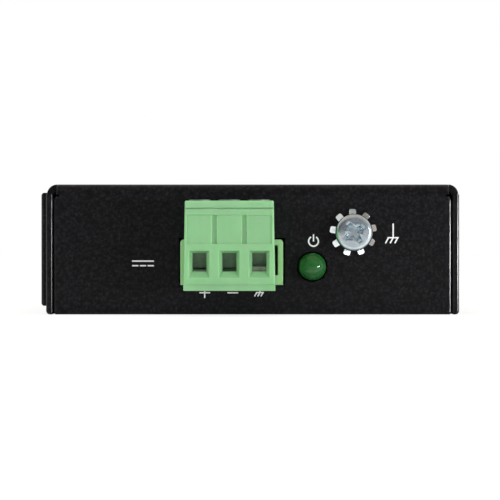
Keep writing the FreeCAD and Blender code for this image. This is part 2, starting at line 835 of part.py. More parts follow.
def make_plug():
    """The terminal plug's moulded body: stepped face, wire funnels, clamp chambers and hollow nose."""
    plug = Piece("Plug")
    bottom_half = f"({plug_bottom_width} / 2)"
    top_half = f"({plug_top_width} / 2)"
    plug.add(
        "XZ",
        (plug_front, plug_back),
        [
            (f"{plug_centre} - {bottom_half}", plug_low),
            (f"{plug_centre} + {bottom_half}", plug_low),
            (f"{plug_centre} + {top_half}", plug_top),
            (f"{plug_centre} - {top_half}", plug_top),
        ],
    )
    ends = [value(plug_front), value(plug_back)]
    middle = value(f"({plug_low} + {plug_top}) / 2")

    def outer_edge(edge):
        """The outline of the face and the four long edges of the block."""
        on_face = lies(edge, y=ends[0])
        corner = edge.BoundBox.YLength > value("plug_depth") - SAME
        return on_face or (corner and edge.CenterOfMass.z > middle)

    plug.round_edges("plug_round", outer_edge)
    nose_half = f"({header_width} / 2 - header_side - plug_play - nose_side_fit)"
    nose_span = (f"{plug_back} - wall", nose_back)
    nose = rectangle(both_sides(plug_centre, nose_half), (f"{cavity_low} + nose_fit", f"{cavity_high} - nose_fit"))
    plug.add("XZ", nose_span, nose)
    face = (f"{plug_top} - face_down - face_height", f"{plug_top} - face_down")
    panel = rectangle(both_sides(plug_centre, f"{top_half} - face_side"), face)
    plug.cut("XZ", (plug_front, f"{plug_front} + face_depth"), panel)
    slots = [
        rectangle(both_sides(pole_middle(between), "slot_width / 2"), face)
        for between in (-0.5, 0.5)
    ]
    plug.cut("XZ", (plug_front, f"{plug_front} + face_depth + slot_depth"), *slots)
    wide = both_sides(plug_centre, f"{plug_bottom_width} / 2 + wall")
    groove = (f"{plug_top} - groove_down", f"{plug_top} - groove_down + groove_height")
    plug.cut("XZ", (plug_front, f"{plug_front} + groove_depth"), rectangle(wide, groove))
    foot = (f"{plug_low} - wall", f"{plug_low} + foot_level")
    plug.cut("XZ", (plug_front, f"{plug_front} + foot_setback"), rectangle(wide, foot))
    chambers = []
    for pole in POLES:
        x = pole_middle(pole)
        mouth = rectangle(
            both_sides(x, "wire_width / 2 + funnel_side"),
            (f"{wire_low} - funnel_bottom", f"{wire_high} + funnel_top"),
        )
        throat = rectangle(both_sides(x, "wire_width / 2"), (wire_low, wire_high))
        plug.cut_funnel("XZ", (plug_front, f"{plug_front} + funnel_depth"), [mouth, throat])
        plug.cut("XZ", (f"{plug_front} + funnel_depth", clamp_axis), throat)
        chambers.append(
            rectangle(
                both_sides(x, f"{cage_width} / 2 + chamber_gap"),
                both_sides(clamp_axis, f"{cage_depth} / 2 + chamber_gap"),
            )
        )
        cell = rectangle(
            both_sides(x, "tube_side + chamber_gap"),
            (f"{tube_low} - chamber_gap", f"{tongue_high} + chamber_gap"),
        )
        plug.cut("XZ", (clamp_axis, f"{nose_back} - nose_end"), cell)
        ledge = rectangle(
            both_sides(x, "tongue_width / 2 + chamber_gap"),
            (f"{tongue_low} - chamber_gap", f"{tongue_high} + chamber_gap"),
        )
        plug.cut("XZ", (f"{plug_front} + tongue_front - chamber_gap", clamp_axis), ledge)
        entry = rectangle(both_sides(x, "pin_entry"), both_sides(pin_level, "pin_width / 2 + tube_gap"))
        plug.cut("XZ", (f"{nose_back} - nose_end", nose_back), entry)
    plug.cut("XY", (chamber_low, chamber_high), *chambers)
    shafts = [disc(pole_middle(pole), clamp_axis, "clamp_thread + chamber_gap") for pole in POLES]
    plug.cut("XY", (chamber_high, shelf_top), *shafts)
    wells = [disc(pole_middle(pole), clamp_axis, f"{clamp_head} + well_gap") for pole in POLES]
    plug.cut("XY", (shelf_top, f"{plug_top} + wall"), *wells)
    node("plug_body", plug.body)


def make_clamps():
    """For each pole a screw, a rising cage, and a contact whose tube takes the header's pin."""
    contacts = []
    for index, pole in enumerate(POLES, start=1):
        x = pole_middle(pole)
        shank = "clamp_thread - clamp_thread_gap"
        head = rod(x, clamp_axis, (shelf_top, f"{shelf_top} + clamp_head_height"), clamp_head)
        shaft = rod(x, clamp_axis, (f"{tongue_high} + clamp_shaft_gap", f"{shelf_top} + wall"), shank)
        slot_low = f"{shelf_top} + clamp_head_height - clamp_slot_depth"
        slot = block(
            both_sides(x, f"{clamp_head} + wall"),
            both_sides(clamp_axis, "clamp_slot / 2"),
            (slot_low, f"{shelf_top} + clamp_head_height + wall"),
        )
        node(f"clamp_screw_{index}", without(joined(head, shaft), slot))
        low = f"({cage_low} + cage_rise_{index})"
        opening = (f"{low} + cage_floor", f"{low} + cage_floor + cage_opening")
        across = both_sides(x, f"{cage_width} / 2")
        deep = both_sides(clamp_axis, f"{cage_depth} / 2")
        cage = block(across, deep, (low, f"{low} + {cage_height}"))
        room = block(both_sides(x, "clamp_thread + cage_clear"), deep, opening)
        thread = rod(x, clamp_axis, (opening[1], f"{low} + {cage_height}"), "clamp_thread")
        node(f"clamp_cage_{index}", without(cage, room, thread))
        tube_span = (f"{clamp_axis} + {cage_depth} / 2 + chamber_gap", f"{nose_back} - nose_end - chamber_gap")
        tongue = block(
            both_sides(x, "tongue_width / 2"),
            (f"{plug_front} + tongue_front", tube_span[1]),
            (tongue_low, tongue_high),
        )
        tube = block(both_sides(x, "tube_side"), tube_span, (tube_low, tongue_low))
        bore = block(
            both_sides(x, "tube_side - tube_wall"),
            (f"{tube_span[0]} + tube_stop", tube_span[1]),
            both_sides(pin_level, "pin_width / 2 + tube_gap"),
        )
        contacts.append(joined(tongue, without(tube, bore)))
    node("plug_contacts", group(contacts))


def make_lamp():
    """The indicator lamp with its flange and dome, its two bent leads and the block that holds it level."""
    lamp = Piece("Lamp")
    lamp.turn(
        [
            ("0", "0"),
            (flange_radius, "0"),
            (flange_radius, "flange_thick"),
            ("led_radius", "flange_thick"),
            ("led_radius", "led_length"),
            ("0", "led_length"),
        ]
    )
    tip = SIZES["led_length"]
    lamp.round_edges("led_radius - led_tip", lambda edge: lies(edge, z=tip))
    node("power_led", place(lamp.body, "led_right", led_base, led_level, Rotation(Vector(1, 0, 0), 90)))
    holder = block(
        both_sides("led_right", "holder_width / 2"),
        (led_base, holder_back),
        (board_top, f"{led_level} + holder_over"),
    )
    tunnels = []
    leads = []
    leg = (holder_back, f"{holder_back} + lead_width")
    for reach in ("lead_pitch / 2", "-lead_pitch / 2"):
        x = f"led_right + {reach}"
        width = both_sides(x, "lead_width / 2")
        level = both_sides(led_level, "lead_width / 2")
        tunnels.append(
            block(
                both_sides(x, "lead_width / 2 + fit"),
                (led_base, holder_back),
                both_sides(led_level, "lead_width / 2 + fit"),
            )
        )
        run = block(width, (led_base, leg[1]), level)
        leads.append(joined(run, block(width, leg, (f"{board_low} - lead_tail", level[1]))))
    node("led_holder", without(holder, *tunnels))
    node("led_leads", group(leads))


def cross_outline(arm, width):
    """The outline of a cross recess."""
    half = f"({width} / 2)"
    quarter = [(arm, f"-{half}"), (arm, half), (half, half)]
    points = []
    for _ in range(4):
        points += quarter
        quarter = [(f"-({up})", across) for across, up in quarter]
    return points


def make_ground():
    """The ground screw, its toothed washer and the nut fixed behind the panel."""
    screw = Piece("GroundScrew")
    shank = "(ground_thread - ground_thread_gap)"
    screw.turn(
        [
            ("0", "-ground_length"),
            (shank, "-ground_length"),
            (shank, "0"),
            ("ground_head", "0"),
            ("ground_head", "ground_head_height"),
            ("0", "ground_head_height"),
        ]
    )
    top = SIZES["ground_head_height"]
    screw.round_edges("ground_head_round", lambda edge: lies(edge, z=top))
    recess = screw.cut(
        "XY",
        ("ground_head_height - ground_cross_depth", "ground_head_height"),
        cross_outline("ground_cross_arm", "ground_cross_width"),
    )
    drawing = recess.Profile[0]
    drawing.AttachmentOffset = Placement(Vector(), Rotation(Vector(0, 0, 1), SIZES["ground_cross_turn"]))
    bind(drawing, "AttachmentOffset.Base.z", "ground_head_height")
    facing_out = Rotation(Vector(1, 0, 0), 90)
    under_head = f"({front} - {washer_space})"
    node("ground_screw", place(screw.body, "ground_right", under_head, "ground_level", facing_out))

    ring = rod("0", "0", ("-washer_thick / 2", "washer_thick / 2"), "washer_ring")
    teeth = []
    for index in range(WASHER_TEETH):
        angle = SIZES["tooth_start"] + index * 360 / WASHER_TEETH
        tooth = document.addObject("Part::Box", "Tooth")
        bind(tooth, "Length", f"washer_radius - {washer_hole}")
        bind(tooth, "Width", "tooth_width")
        bind(tooth, "Height", "washer_thick")
        twist = Rotation(Vector(1, 0, 0), -SIZES["tooth_twist"])
        turn = Rotation(Vector(0, 0, 1), angle).multiply(twist)
        corner = turn.multVec(Vector(value(washer_hole), -value("tooth_width") / 2, -value("washer_thick") / 2))
        tooth.Placement = Placement(corner, turn)
        teeth.append(tooth)
    hole = rod("0", "0", (f"-{washer_space}", washer_space), washer_hole)
    washer = without(joined(ring, *teeth), hole)
    middle = f"({front} - {washer_space} / 2)"
    place(washer, "ground_right - washer_left", middle, "ground_level + washer_up", facing_out)
    node("ground_washer", washer)

    nut = without(
        hexagon("ground_nut_across", "ground_nut_thick"),
        rod("0", "0", ("0", "ground_nut_thick"), "ground_thread"),
    )
    place(nut, "ground_right", f"{panel_inside} + ground_nut_thick", "ground_level", facing_out)
    node("ground_nut", nut)


def make_plate():
    """The mounting plate with its screws and nuts, and the threaded holes for a rail clip."""
    plate = Piece("Plate")
    half_length = f"(-{front} - plate_setback)"
    plate.add(
        "YZ",
        (plate_outside, f"-{side}"),
        rectangle((f"-{half_length}", half_length), both_sides(plate_middle, "plate_width / 2")),
    )
    outside = value(plate_outside)
    plate.round_edges("plate_round", lambda edge: lies(edge, x=outside))
    plate.cut("YZ", (plate_outside, f"-{side}"), *[disc(y, plate_middle, "clip_hole") for y in clip_places])
    plate.cut("YZ", (plate_outside, f"-{side}"), *[disc(y, plate_middle, screw_hole) for y in plate_screw_places])
    sinks = []
    screws = []
    nuts = []
    inward = Rotation(Vector(0, 1, 0), 90)
    for y in plate_screw_places:
        spot = (y, plate_middle)
        sink = taper("0", "0", ("0", "plate_thick"), ("flat_head + fit", screw_hole))
        sinks.append(place(sink, plate_outside, *spot, inward))
        head = taper("0", "0", ("flat_head_sink", "plate_thick"), ("flat_head", "screw_thread - thread_gap"))
        shaft = rod("0", "0", ("flat_head_sink", "plate_screw_length"), "screw_thread - thread_gap")
        depth = ("0", "plate_thick")
        long_way = block(both_sides("0", "cross_arm"), both_sides("0", "cross_width / 2"), depth)
        short_way = block(both_sides("0", "cross_width / 2"), both_sides("0", "cross_arm"), depth)
        screw = without(joined(head, shaft), long_way, short_way)
        screws.append(place(screw, plate_outside, *spot, inward))
        nut = without(
            hexagon("plate_nut_across", "plate_nut_thick"),
            rod("0", "0", ("0", "plate_nut_thick"), "screw_thread"),
        )
        nuts.append(place(nut, f"-{side} + wall", *spot, inward))
    node("mounting_plate", without(plate.body, *sinks))
    node("plate_screws", group(screws))
    node("plate_nuts", group(nuts))


def board_box(name, left, back, width, depth, height):
    """A rectangular part on the board, placed by its middle."""
    middle = f"({front} + {back})"
    span = (board_top, f"{board_top} + {height}")
    return node(name, block(both_sides(f"-{left}", f"{width} / 2"), both_sides(middle, f"{depth} / 2"), span))


def make_board_parts():
    """The parts on the board: power supply near the header, switching part in the middle."""
    cans = []
    for index in range(2):
        y = f"{front} + capacitor_back + {index} * capacitor_pitch"
        cans.append(rod("-capacitor_left", y, (board_top, f"{board_top} + capacitor_height"), "capacitor_radius"))
    node("bulk_capacitors", group(cans))
    board_box("fuse", "fuse_left", "fuse_back", "fuse_width", "fuse_depth", "fuse_height")
    board_box("surge_diode", "diode_left", "diode_back", "diode_width", "diode_depth", "diode_height")
    board_box(
        "power_inductor", "inductor_left", "inductor_back", "inductor_side", "inductor_side", "inductor_height"
    )
    small_chip = ("small_chip_width", "small_chip_depth", "small_chip_height")
    board_box("regulator_chip", "regulator_left", "regulator_back", *small_chip)
    board_box("memory_chip", "memory_left", "memory_back", *small_chip)
    main_chip = ("main_chip_side", "main_chip_side", "main_chip_height")
    board_box("switch_chip", "main_chip_left", "main_chip_back", *main_chip)
    board_box("crystal", "crystal_left", "crystal_back", "crystal_width", "crystal_length", "crystal_height")
    ceramics = []
    span = (board_top, f"{board_top} + ceramic_height")
    for beside in (-1, 1):
        x = f"-main_chip_left + {beside} * (main_chip_side / 2 + ceramic_gap + ceramic_width / 2)"
        for index in range(CERAMICS_PER_ROW):
            y = f"{front} + main_chip_back + {index - (CERAMICS_PER_ROW - 1) / 2} * ceramic_pitch"
            ceramics.append(block(both_sides(x, "ceramic_width / 2"), both_sides(y, "ceramic_length / 2"), span))
    node("chip_capacitors", group(ceramics))


def check_document():
    """Stops if any object failed or any sub-part has no valid shape."""
    document.recompute()
    for thing in document.Objects:
        if {"Invalid", "Error"} & set(thing.State):
            raise RuntimeError(f"{thing.Name} ({thing.Label}) failed: {thing.State}")
    for name, thing in nodes.items():
        if thing.Shape.isNull() or not thing.Shape.isValid() or not thing.Shape.Solids:
            raise RuntimeError(f"{name} has no valid solid")


make_cover()
make_base()
make_posts()
make_board()
for port_number in PORTS:
    make_port(port_number)
make_header()
make_plug()
make_clamps()
make_lamp()
make_ground()
make_plate()
make_board_parts()
check_document()
os.makedirs("parts", exist_ok=True)
for node_name, sub_part in nodes.items():
    sub_part.Shape.exportStep(f"parts/{node_name}.step")
    print(f"{node_name}: {len(sub_part.Shape.Solids)} solids, {sub_part.Shape.Volume:.2f} mm3")
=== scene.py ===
"""Looks for a compact metal-cased network switch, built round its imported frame.

Every length is in metres unless its comment says millimetres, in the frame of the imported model: the power
end faces -Y, the network ports face +X and the case stands on Z = 0.
"""

from __future__ import annotations

import json
import logging
import math
from collections.abc import Callable, Iterator, Sequence
from contextlib import contextmanager
from dataclasses import dataclass
from enum import Enum
from typing import Any

import bmesh
import bpy
from mathutils import Matrix, Vector

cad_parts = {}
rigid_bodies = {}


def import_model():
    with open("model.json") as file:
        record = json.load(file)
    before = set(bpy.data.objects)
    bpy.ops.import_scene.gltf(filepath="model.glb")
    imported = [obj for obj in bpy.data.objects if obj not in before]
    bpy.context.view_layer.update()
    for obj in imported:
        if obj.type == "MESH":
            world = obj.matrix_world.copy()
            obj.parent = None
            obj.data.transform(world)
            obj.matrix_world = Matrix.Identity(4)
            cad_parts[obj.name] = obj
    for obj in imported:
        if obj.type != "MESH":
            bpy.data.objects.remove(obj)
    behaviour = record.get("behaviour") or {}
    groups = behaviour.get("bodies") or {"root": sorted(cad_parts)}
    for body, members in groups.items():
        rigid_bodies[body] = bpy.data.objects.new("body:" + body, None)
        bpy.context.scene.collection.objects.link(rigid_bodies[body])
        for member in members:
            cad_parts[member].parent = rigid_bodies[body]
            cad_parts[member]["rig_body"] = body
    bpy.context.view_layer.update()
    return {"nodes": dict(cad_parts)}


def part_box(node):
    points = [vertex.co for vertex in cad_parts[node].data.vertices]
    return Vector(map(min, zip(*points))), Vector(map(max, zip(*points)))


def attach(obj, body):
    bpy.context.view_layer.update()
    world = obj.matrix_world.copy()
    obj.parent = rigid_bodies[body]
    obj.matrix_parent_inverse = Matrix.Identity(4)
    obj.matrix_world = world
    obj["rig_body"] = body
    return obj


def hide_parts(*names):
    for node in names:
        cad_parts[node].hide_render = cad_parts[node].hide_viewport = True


LOG = logging.getLogger("switch")
MM = 0.001
WELD = 1e-6
QUARTER_TURN = math.pi / 2
FULL_TURN = 2 * math.pi
CHASSIS = "chassis"
POLES = (1, 2, 3)
PORTS = (1, 2, 3, 4, 5)

Thing = bpy.types.Object
Colour = tuple[float, float, float]
Point = tuple[float, float, float]
Spot = tuple[float, float]
Span = tuple[float, float]

WHITE: Colour = (1.0, 1.0, 1.0)


class Cells(Enum):
    """What a pattern of cells measures."""

    ROUND = "SMOOTH_F1"
    SEAM = "DISTANCE_TO_EDGE"


class Part(Enum):
    """What a selection in edit mode is made of."""

    EDGE = "EDGE"
    FACE = "FACE"


class Solid(Enum):
    """What one solid does to another."""

    ADD = "UNION"
    CUT = "DIFFERENCE"


class Wire:
    """One output socket, whose operators add Math nodes to its graph."""

    def __init__(self, graph: Graph, socket: bpy.types.NodeSocket) -> None:
        """Keeps the socket and the graph that it belongs to."""
        self.graph = graph
        self.socket = socket

    def _math(self, operation: str, first: Wire | float, second: Wire | float) -> Wire:
        """The result of one Math node."""
        return self.graph.node("ShaderNodeMath", {"operation": operation}, {0: first, 1: second})

    def __add__(self, other: Wire | float) -> Wire:
        """This value plus another."""
        return self._math("ADD", self, other)

    def __radd__(self, other: Wire | float) -> Wire:
        """Another value plus this one."""
        return self._math("ADD", other, self)

    def __sub__(self, other: Wire | float) -> Wire:
        """This value less another."""
        return self._math("SUBTRACT", self, other)

    def __rsub__(self, other: Wire | float) -> Wire:
        """Another value less this one."""
        return self._math("SUBTRACT", other, self)

    def __mul__(self, other: Wire | float) -> Wire:
        """This value times another."""
        return self._math("MULTIPLY", self, other)

    def __rmul__(self, other: Wire | float) -> Wire:
        """Another value times this one."""
        return self._math("MULTIPLY", other, self)

    def largest(self, other: Wire | float) -> Wire:
        """The larger of this value and another."""
        return self._math("MAXIMUM", self, other)

    def rise(self, low: float, high: float) -> Wire:
        """A smooth step from 0 at low to 1 at high."""
        limits = {"Value": self, "From Min": low, "From Max": high}
        return self.graph.node("ShaderNodeMapRange", {"interpolation_type": "SMOOTHSTEP"}, limits)

    def swing(self, size: float) -> Wire:
        """How far a noise is above or below its middle, times a size."""
        return (self - 0.5) * size


class Graph:
    """A node tree that is written as expressions."""

    def __init__(self, tree: bpy.types.NodeTree) -> None:
        """Takes over a tree and empties it."""
        self.tree = tree
        tree.nodes.clear()

    def node(
        self,
        kind: str,
        settings: dict[str, Any] | None = None,
        sockets: dict[str | int, Any] | None = None,
        out: str | int = 0,
    ) -> Wire:
        """Adds one node.

        Args:
            kind: the node's type.
            settings: its own settings, set before its sockets.
            sockets: a value or a wire for each input, by identifier, name or place.
            out: the output that is returned.

        Returns:
            The output's wire, or the first input's where the node has no output.
        """
        made = self.tree.nodes.new(kind)
        for key, setting in (settings or {}).items():
            setattr(made, key, setting)
        for key, value in (sockets or {}).items():
            socket = self._socket(made.inputs, key)
            if isinstance(value, Wire):
                self.tree.links.new(value.socket, socket)
            elif socket.type == "RGBA":
                socket.default_value = (*value[:3], 1.0)
            else:
                socket.default_value = value
        if not made.outputs:
            return Wire(self, made.inputs[0])
        return Wire(self, self._socket(made.outputs, out))

    @staticmethod
    def _socket(group: bpy.types.bpy_prop_collection, key: str | int) -> bpy.types.NodeSocket:
        """Finds a socket.

        Args:
            group: a node's inputs or outputs.
            key: the socket's place, identifier or name.

        Returns:
            The socket.
        """
        if isinstance(key, int):
            return group[key]
        return next((socket for socket in group if socket.identifier == key), None) or group[key]

    def spot(self) -> Wire:
        """The point on the piece, in its own frame."""
        return self.node("ShaderNodeTexCoord", out="Object")

    def stretched(self, scale: Point) -> Wire:
        """The point on the piece, stretched."""
        return self.node("ShaderNodeMapping", {}, {"Vector": self.spot(), "Scale": scale})

    def noise(self, spot: Wire, scale: float, detail: float = 2.0, rough: float = 0.5) -> Wire:
        """Cloudy noise, with features of about one over scale."""
        sockets = {"Vector": spot, "Scale": scale, "Detail": detail, "Roughness": rough}
        return self.node("ShaderNodeTexNoise", {}, sockets)

    def cells(self, spot: Wire, scale: float, measure: Cells) -> Wire:
        """Distances in a pattern of cells, each about one over scale across."""
        return self.node("ShaderNodeTexVoronoi", {"feature": measure.value}, {"Vector": spot, "Scale": scale})

    def mix(self, share: Wire | float, first: Wire | Colour, second: Wire | Colour) -> Wire:
        """A colour that goes from the first to the second."""
        sockets = {"Factor_Float": share, "A_Color": first, "B_Color": second}
        return self.node("ShaderNodeMix", {"data_type": "RGBA"}, sockets, "Result_Color")

    def bump(self, height: Wire, depth: float, strength: float) -> Wire:
        """A normal that is tilted by a height of so many metres."""
        return self.node("ShaderNodeBump", {}, {"Height": height, "Distance": depth, "Strength": strength})

    def surface(self, sockets: dict[str | int, Any]) -> None:
        """Ends the tree in a Principled shader."""
        shader = self.node("ShaderNodeBsdfPrincipled", {}, sockets)
        self.node("ShaderNodeOutputMaterial", {}, {"Surface": shader})


class Finish:
    """A surface finish that becomes one node material."""

    name: str

    def material(self) -> bpy.types.Material:
        """Finds the finish's material, or makes it the first time it is asked for.

        Returns:
            The material.
        """
        title = f"finish_{self.name}"
        made = bpy.data.materials.get(title)
        if made is None:
            made = bpy.data.materials.new(title)
            made.use_nodes = True
            self.paint(Graph(made.node_tree))
        return made

    def paint(self, graph: Graph) -> None:
        """Writes the finish's nodes."""
        raise NotImplementedError


@dataclass(frozen=True)
class PowderCoat(Finish):
    """Black powder coat with a fine leathery grain, and a gloss on the edges: partly the coat's own sheen,
    partly a painted highlight, strongest on the edges turned to the key lamp.
    """

    name: str = "powder_coat"
    hollow: Colour = (0.0030, 0.0030, 0.0036)
    crest: Colour = (0.0164, 0.0164, 0.0200)
    tone: Span = (0.42, 0.76)
    rough: float = 0.34
    cloud_rough: float = 0.14
    grit_rough: float = 0.10
    gloss: float = 0.16
    cloud: float = 45.0
    grain: float = 2300.0
    pebble: float = 1426.0
    pebble_share: float = 0.3
    depth: float = 0.11 * MM
    relief: float = 0.9
    bead: str = "bead"
    bead_even: float = 0.7
    bead_rough: float = 0.16
    # A coat far shinier than lacquer, so that the edges show a painted highlight.
    painted_sheen_ior: float = 2.2

    def paint(self, graph: Graph) -> None:
        """Writes pebbles and grit over a slowly changing sheen, under a gloss on the edges that paints
        highlights on them.

        Args:
            graph: the material's empty tree.
        """
        spot = graph.spot()
        grit = graph.noise(spot, self.grain, detail=3.0, rough=0.6)
        pebble = 1 - graph.cells(spot, self.pebble, Cells.ROUND)
        cloud = graph.noise(spot, self.cloud)
        grain = grit * (1 - self.pebble_share) + pebble * self.pebble_share
        edge = graph.node("ShaderNodeAttribute", {"attribute_name": self.bead}, out="Fac")
        graph.surface(
            {
                "Base Color": graph.mix(grain.rise(*self.tone), self.hollow, self.crest),
                "Roughness": self.rough + cloud.swing(self.cloud_rough) + grit.swing(self.grit_rough),
                "Specular IOR Level": self.gloss,
                "Coat Weight": edge * (self.bead_even + cloud * (1 - self.bead_even)),
                "Coat Roughness": self.bead_rough,
                "Coat IOR": self.painted_sheen_ior,
                "Normal": graph.bump(grain, self.depth, self.relief),
            }
        )


@dataclass(frozen=True)
class PlatedMetal(Finish):
    """Bare or plated metal with drawn streaks and cloudy patches."""

    name: str
    light: Colour
    shade: Colour
    rough: float = 0.26
    spread: float = 0.16
    brush: Point = (1.0, 1.0, 1.0)
    streak: float = 5200.0
    cloud: float = 700.0
    cloud_rough: float = 0.10
    tone: Span = (0.32, 0.68)
    depth: float = 0.004 * MM
    relief: float = 0.5

    def paint(self, graph: Graph) -> None:
        """Writes patches of tint, with streaks in the sheen and the relief.

        Args:
            graph: the material's empty tree.
        """
        cloud = graph.noise(graph.spot(), self.cloud, detail=3.0, rough=0.6)
        streak = graph.noise(graph.stretched(self.brush), self.streak, detail=3.0, rough=0.65)
        graph.surface(
            {
                "Base Color": graph.mix(cloud.rise(*self.tone), self.shade, self.light),
                "Metallic": 1.0,
                "Roughness": self.rough + streak.swing(self.spread) + cloud.swing(self.cloud_rough),
                "Normal": graph.bump(streak, self.depth, self.relief),
            }
        )


@dataclass(frozen=True)
class Moulded(Finish):
    """Moulded plastic with a fine eroded grain and faint flow marks."""

    name: str
    light: Colour
    shade: Colour
    rough: float = 0.42
    gloss: float = 0.4
    grain: float = 5200.0
    grain_rough: float = 0.16
    flow: float = 420.0
    flow_stretch: Point = (1.0, 0.5, 0.35)
    flow_rough: float = 0.08
    tone: Span = (0.3, 0.7)
    depth: float = 0.006 * MM
    relief: float = 0.6
    scatter: float = 0.0
    scatter_depth: float = 1.5 * MM
    scatter_reach: Point = (0.5, 1.0, 0.5)

    def paint(self, graph: Graph) -> None:
        """Writes flow marks in the colour and a matt grain in the relief.

        Args:
            graph: the material's empty tree.
        """
        flow = graph.noise(graph.stretched(self.flow_stretch), self.flow, detail=3.0, rough=0.55)
        grain = graph.noise(graph.spot(), self.grain, rough=0.6)
        graph.surface(
            {
                "Base Color": graph.mix(flow.rise(*self.tone), self.shade, self.light),
                "Roughness": self.rough + grain.swing(self.grain_rough) + flow.swing(self.flow_rough),
                "Specular IOR Level": self.gloss,
                "Subsurface Weight": self.scatter,
                "Subsurface Radius": self.scatter_reach,
                "Subsurface Scale": self.scatter_depth,
                "Normal": graph.bump(grain, self.depth, self.relief),
            }
        )


@dataclass(frozen=True)
class TintedResin(Finish):
    """Cast resin that is partly clear and tinted through."""

    name: str
    light: Colour
    shade: Colour
    clear: float
    rough: float
    swirl: float = 520.0
    tone: Span = (0.3, 0.7)
    skin: float = 2200.0
    skin_rough: float = 0.05
    depth: float = 0.002 * MM
    relief: float = 0.4
    bending: float = 1.5

    def paint(self, graph: Graph) -> None:
        """Writes swirls in the tint under a smooth skin.

        Args:
            graph: the material's empty tree.
        """
        spot = graph.spot()
        swirl = graph.noise(spot, self.swirl, detail=3.0, rough=0.6)
        skin = graph.noise(spot, self.skin, detail=1.0)
        graph.surface(
            {
                "Base Color": graph.mix(swirl.rise(*self.tone), self.shade, self.light),
                "Roughness": self.rough + skin.swing(self.skin_rough),
                "Transmission Weight": self.clear,
                "IOR": self.bending,
                "Normal": graph.bump(skin, self.depth, self.relief),
            }
        )


@dataclass(frozen=True)
class SolderMask(Finish):
    """A circuit board: tracks under a green mask."""

    name: str = "solder_mask"
    mask: Colour = (0.010, 0.070, 0.028)
    track: Colour = (0.022, 0.130, 0.050)
    field: float = 260.0
    track_side: Span = (0.04, 0.09)
    weave: float = 900.0
    weave_stretch: Point = (1.0, 6.0, 1.0)
    weave_height: float = 0.2
    weave_rough: float = 0.15
    rough: float = 0.30
    depth: float = 0.02 * MM
    relief: float = 0.6

    def paint(self, graph: Graph) -> None:
        """Writes tracks that follow the seams of large cells, with a waxy sheen.

        Args:
            graph: the material's empty tree.
        """
        away = graph.cells(graph.spot(), self.field, Cells.SEAM)
        track = 1 - away.rise(*self.track_side)
        weave = graph.noise(graph.stretched(self.weave_stretch), self.weave)
        graph.surface(
            {
                "Base Color": graph.mix(track, self.mask, self.track),
                "Roughness": self.rough + weave.swing(self.weave_rough),
                "Normal": graph.bump(track + weave * self.weave_height, self.depth, self.relief),
            }
        )


@dataclass(frozen=True)
class PrintInk(Finish):
    """White screen print, a little uneven."""

    name: str = "print_ink"
    full: Colour = (0.93, 0.94, 0.95)
    thin: Colour = (0.76, 0.77, 0.78)
    tone: Span = (0.25, 0.45)
    grain: float = 3200.0
    rough: float = 0.55
    grain_rough: float = 0.2
    gloss: float = 0.3
    depth: float = 0.004 * MM
    relief: float = 0.5

    def paint(self, graph: Graph) -> None:
        """Writes ink that thins over the grain of the paint below it.

        Args:
            graph: the material's empty tree.
        """
        cover = graph.noise(graph.spot(), self.grain, rough=0.6)
        graph.surface(
            {
                "Base Color": graph.mix(cover.rise(*self.tone), self.thin, self.full),
                "Roughness": self.rough + cover.swing(self.grain_rough),
                "Specular IOR Level": self.gloss,
                "Normal": graph.bump(cover, self.depth, self.relief),
            }
        )


CASE_PAINT = PowderCoat()
BLACK_STEEL = PlatedMetal("black_steel", (0.060, 0.060, 0.064), (0.030, 0.030, 0.032), rough=0.38)
ZINC = PlatedMetal("zinc_plate", (0.79, 0.89, 0.94), (0.61, 0.71, 0.76), rough=0.22, spread=0.14)
BRIGHT_ZINC = PlatedMetal("bright_zinc", (0.93, 0.97, 0.99), (0.78, 0.83, 0.86), rough=0.24, spread=0.14)
# Much darker than the other zinc: painted shade that mutes the key lamp's highlight on the clamp screws.
SHADED_ZINC = PlatedMetal("dull_zinc", (0.34, 0.37, 0.36), (0.25, 0.28, 0.27), rough=0.56, spread=0.16)
# Tinted green: a painted reflection of the green plastic round the clamps.
NICKEL_WITH_PAINTED_GREEN = PlatedMetal(
    "nickel_plate", (0.36, 0.43, 0.32), (0.26, 0.32, 0.23), rough=0.34, spread=0.18, brush=(1.0, 1.0, 0.12)
)
TINNED = PlatedMetal("tinned_metal", (0.74, 0.73, 0.70), (0.60, 0.59, 0.57), rough=0.34)
# Tinted green and lightened: a painted reflection of the green plastic round the wire holes, and painted
# light inside them.
TIN_WITH_PAINTED_GREEN = PlatedMetal(
    "dull_tin", (0.340, 0.480, 0.345), (0.250, 0.370, 0.258), rough=0.46, spread=0.20, brush=(1.0, 1.0, 0.2)
)
SHIELD = PlatedMetal(
    "shield_sheet", (0.66, 0.65, 0.62), (0.60, 0.59, 0.56), rough=0.27, spread=0.12, brush=(1.0, 1.0, 0.08)
)
GOLD = PlatedMetal("gold_plate", (0.98, 0.72, 0.30), (0.86, 0.58, 0.20), rough=0.20, spread=0.10)
CAN_METAL = PlatedMetal("can_metal", (0.72, 0.72, 0.73), (0.60, 0.60, 0.62), rough=0.30)
